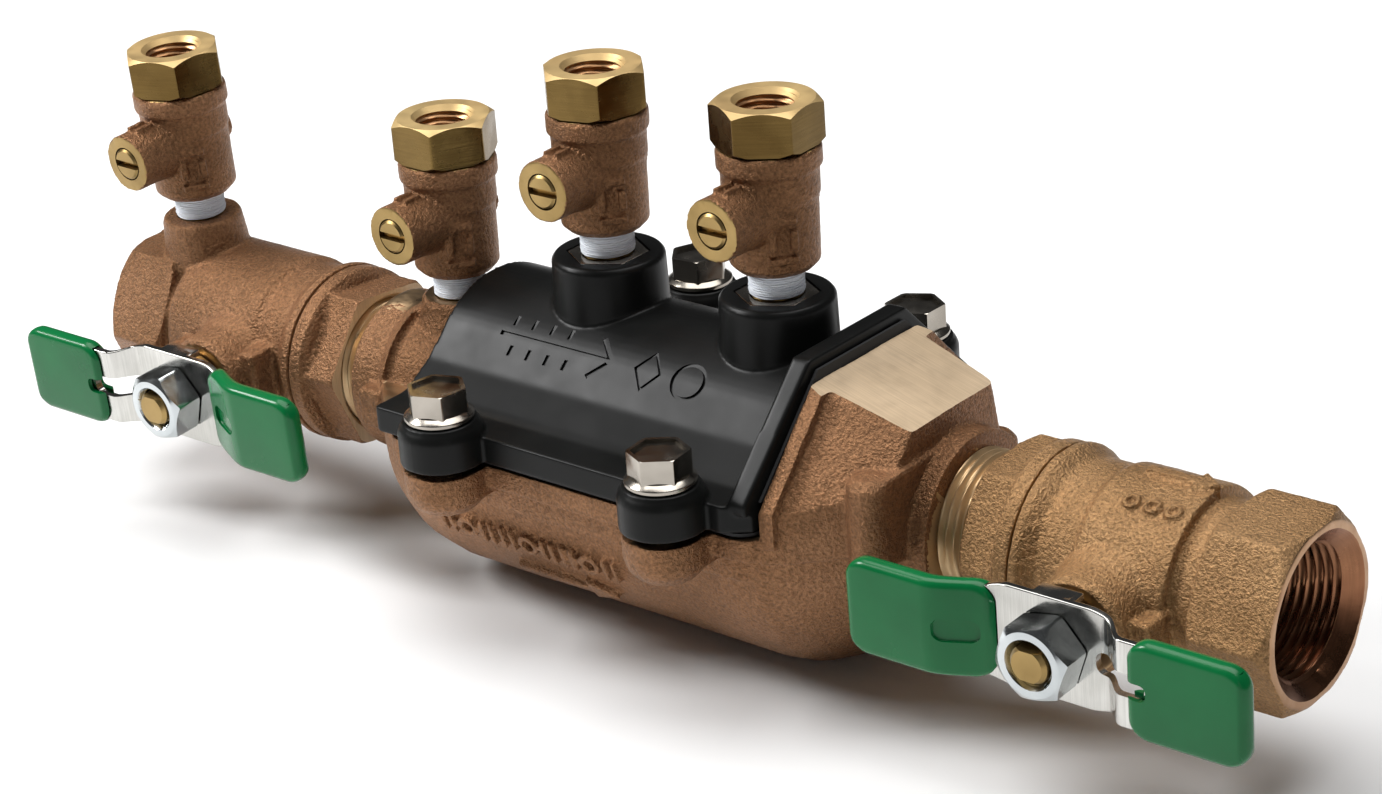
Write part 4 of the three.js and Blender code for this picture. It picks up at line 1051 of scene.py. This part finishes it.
def cover_blank():
    outline = rounded([(COVER_START, -39.3), (202.5, -39.3), (COVER_END, -36), (COVER_END, 36),
                       (202.5, 39.3), (COVER_START, 39.3)], [1.2, 2, 1, 1, 2, 1.2], 4, closed=True)
    shell = prism("shell", outline, COVER_BOTTOM, FLANGE_TOP)
    section = []
    for k in range(25):
        angle = radians(-46 + 92 * k / 24)
        section.append((ARCH_R * sin(angle), ARCH_Z + ARCH_R * cos(angle)))
    slope = rounded([section[-1], (22.6, 17.6), (30.5, 12.8), (35.5, 12.0)], 8, 6)[1:]
    profile = [(-35.5, 9)] + [(-y, z) for y, z in slope[::-1]] + section + slope + [(35.5, 9)]
    parts = [prism("arch", profile, COVER_START + 0.6, COVER_END, "X")]
    boss = [(COVER_BOTTOM, 8.9), (13.6, 8.9), (14.9, 8.4), (15.4, 7.9),
            (16.1, 7.7)]
    for x, y in BOLTS:
        low, high = sorted((y, copysign(33, y)))
        parts += [lathe("boss", boss, "Z", at=(x, y, 0), count=64),
                  block("web", x - 8.7, x + 8.7, low, high, COVER_BOTTOM, FLANGE_TOP)]
    post = [(14, 12.5), (38.8, 11.9), (POST_TOP, 11.1)]
    parts += [lathe("post", post, "Z", at=(x, COCK_SIDE, 0)) for x in POST_X]
    end = rounded([(-38.2, 11), (38.2, 11), (38.2, 13.2), (15.6, 35.4), (-15.6, 35.4),
                   (-38.2, 13.2)], [0.5, 0.5, 2, 2, 2, 2], 4, closed=True)
    parts.append(prism("end_flange", end, COVER_END - 4.2, COVER_END, "X"))
    join(shell, *parts)
    shell.data.transform(Matrix.Translation((BODY_X * MM, 0, 0)))
    return shell


def cover_marks():
    """Engraved flow arrow, ticks, diamond and ring on the front slope of the arch."""
    slope = BODY @ Matrix.Translation((0, 0, ARCH_Z)) @ Matrix.Rotation(radians(42), 4, "X")
    depth = (ENGRAVED_R, 30)
    arrow = [(126, -0.5), (155, -0.5), (151.4, -4.2), (152.4, -4.9), (157.4, 0), (152.4, 4.9),
             (151.4, 4.2), (155, 0.5), (126, 0.5)]
    marks = [prism("arrow", arrow, *depth, place=slope)]
    for left in (128, 133, 138, 143):
        marks += [block("bar", left, left + 0.9, 2.2, 4.6, *depth, place=slope),
                  block("bar", left + 2, left + 2.9, -4.6, -2.2, *depth, place=slope)]
    marks.append(tube("ring", *depth, 3.4, 4.2, "Z", at=(176.5, 0, 0), place=slope, count=48))
    for sx, sy in ((-1, -1), (1, -1), (1, 1), (-1, 1)):
        edge = [(166 + sx * 3.6, 0), (166, sy * 4.6), (166, sy * 3.7), (166 + sx * 2.8, 0)]
        marks.append(prism("diamond", edge, *depth, place=slope))
    return marks


def cover():
    shell = cover_blank()
    soften(shell, 0.4, 4)
    hollow = [(114, 18), (116, 19.9), (COVER_END + 1, 19.9)]
    cutters = [lathe("hollow", hollow, at=(0, 0, ARCH_Z), place=BODY),
               block("foot", 90, 230, -FAR, FAR, -10, COVER_BOTTOM, place=BODY),
               block("end_trim", COVER_END, 230, -FAR, FAR, -10, FAR, place=BODY)]
    for x, y in BOLTS:
        cutters.append(rod("bolt_hole", 0, 30, 3.5, "Z", at=(x, y, 0), place=BODY, count=32))
    for x in POST_X:
        spot = (x, COCK_SIDE, 0)
        cutters += [prism("pocket", hexagon(15.5, INSERT_TURN), POST_TOP - 7.2, 41, at=spot,
                          place=BODY),
                    rod("tap", 10, 33, TAP_R, "Z", at=spot, place=BODY, count=48)]
    cut(shell, *cutters, *cover_marks())
    shell.name = "moulded_cover"
    finish(shell, 50, "assembly", "black_polymer", "access_cover", BLACK)


cover()

BOLT_SEAT, BOLT_TOP = 16.4, 23.0
BOLT_TURNS = (0.35, 0.62, 0.1, 0.5)  # how each hexagon came to rest, radians


def bolt(index, spot, turn):
    """A flange bolt with a dished hexagon."""
    seat = BOLT_SEAT
    flange = [(seat, 0), (seat, 7.2), (seat + 0.8, 7.2), (seat + 1.7, 6.0), (seat + 1.7, 0)]
    head = lathe(f"cover_bolt_{index}_head", rounded(flange, [0, 0.2, 0.3, 0.3, 0], 3), "Z",
                 at=spot, place=BODY, count=72)
    hex_part = prism("hex", rounded(hexagon(11.2, turn), 0.35, 2, closed=True), seat + 1, BOLT_TOP,
                     at=spot, place=BODY)
    meet(hex_part, lathe("chamfer", [(seat + 1, 7), (22.5, 7), (BOLT_TOP, 6.2)], "Z", at=spot,
                         place=BODY))
    join(head, hex_part,
         lathe("shank", [(-3.8, 2.2), (-3, 3), (17, 3)], "Z", at=spot,
               place=BODY, count=48))
    cut(head, prism("dish", hexagon(9.6, turn), 22.3, 24, at=spot, place=BODY))
    finish(head, 30, "assembly", "stainless_steel", f"cover_bolt_{index}", STAINLESS)


def port_insert(tag, x):
    """The threaded hexagon in the top of a post, under a test cock."""
    spot = (x, COCK_SIDE, 0)
    insert = prism(f"port_{tag}_hex_insert", hexagon(15.0, INSERT_TURN), POST_TOP - 7,
                   POST_TOP - 0.1, at=spot, place=BODY, bevel=0.3)
    cut(insert, rod("tap", 0, 60, TAP_R, "Z", at=spot, place=BODY, count=48))
    finish(insert, 30, "assembly", "stainless_steel", f"port_insert_{tag}", STAINLESS)


for number, ((bolt_x, bolt_y), bolt_turn) in enumerate(zip(BOLTS, BOLT_TURNS), 1):
    bolt(number, (bolt_x, bolt_y, 0), bolt_turn)
for port_tag, port_x in zip("34", POST_X):
    port_insert(port_tag, port_x)

# ---- pieces kept from the CAD
KEPT = {
    "ball_seat": ACETAL, "gasket": RUBBER, "_disc": RUBBER, "_spring": STAINLESS,
    "_poppet": ACETAL, "_seat": ACETAL, "_cage": ACETAL,
}
for node_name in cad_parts:
    for key, material in KEPT.items():
        if key in node_name:
            node_object = bpy.data.objects[node_name]
            node_object.data.materials.clear()
            node_object.data.materials.append(material)
            break

# ---- floor and light
FLOOR_HALF, FLOOR_GAP = 3.0, 0.0005  # metres


def stage():
    h = FLOOR_HALF
    mesh = bpy.data.meshes.new("floor")
    mesh.from_pydata([(-h, -h, 0), (h, -h, 0), (h, h, 0), (-h, h, 0)], [], [(0, 1, 2, 3)])
    floor = add("floor", mesh)
    floor.location = (0, 0, CAD_BOUNDS[0][2] - FLOOR_GAP)
    b = Build("floor_paint")
    b.set(Base_Color=(0.9, 0.9, 0.9), Roughness=0.7)
    mesh.materials.append(b.material)


def lamp(name, place, target, size, power):
    """A rectangular light; metres and watts."""
    data = bpy.data.lights.new(name, "AREA")
    data.shape = "RECTANGLE"
    data.size, data.size_y = size
    data.energy = power
    obj = add(name, data)
    obj.location = place
    aim = Vector(target) - Vector(place)
    obj.rotation_euler = aim.to_track_quat("-Z", "Y").to_euler()


stage()
lamp("key", (-0.72, -0.5, 0.82), (0.15, 0, 0.02), (0.4, 0.4), 13)
lamp("fill", (0.95, -0.6, 0.3), (0.2, 0, 0.02), (0.3, 0.5), 0.3)
lamp("top", (0.1, 0.15, 1.3), (0.15, 0, 0), (1.5, 1.1), 22)
world = bpy.data.worlds.new("studio")
world.use_nodes = True
backdrop = world.node_tree.nodes["Background"]
backdrop.inputs["Color"].default_value = (1, 1, 1, 1)
backdrop.inputs["Strength"].default_value = 0.05
bpy.context.scene.world = world
bpy.context.scene.view_settings.view_transform = "Standard"
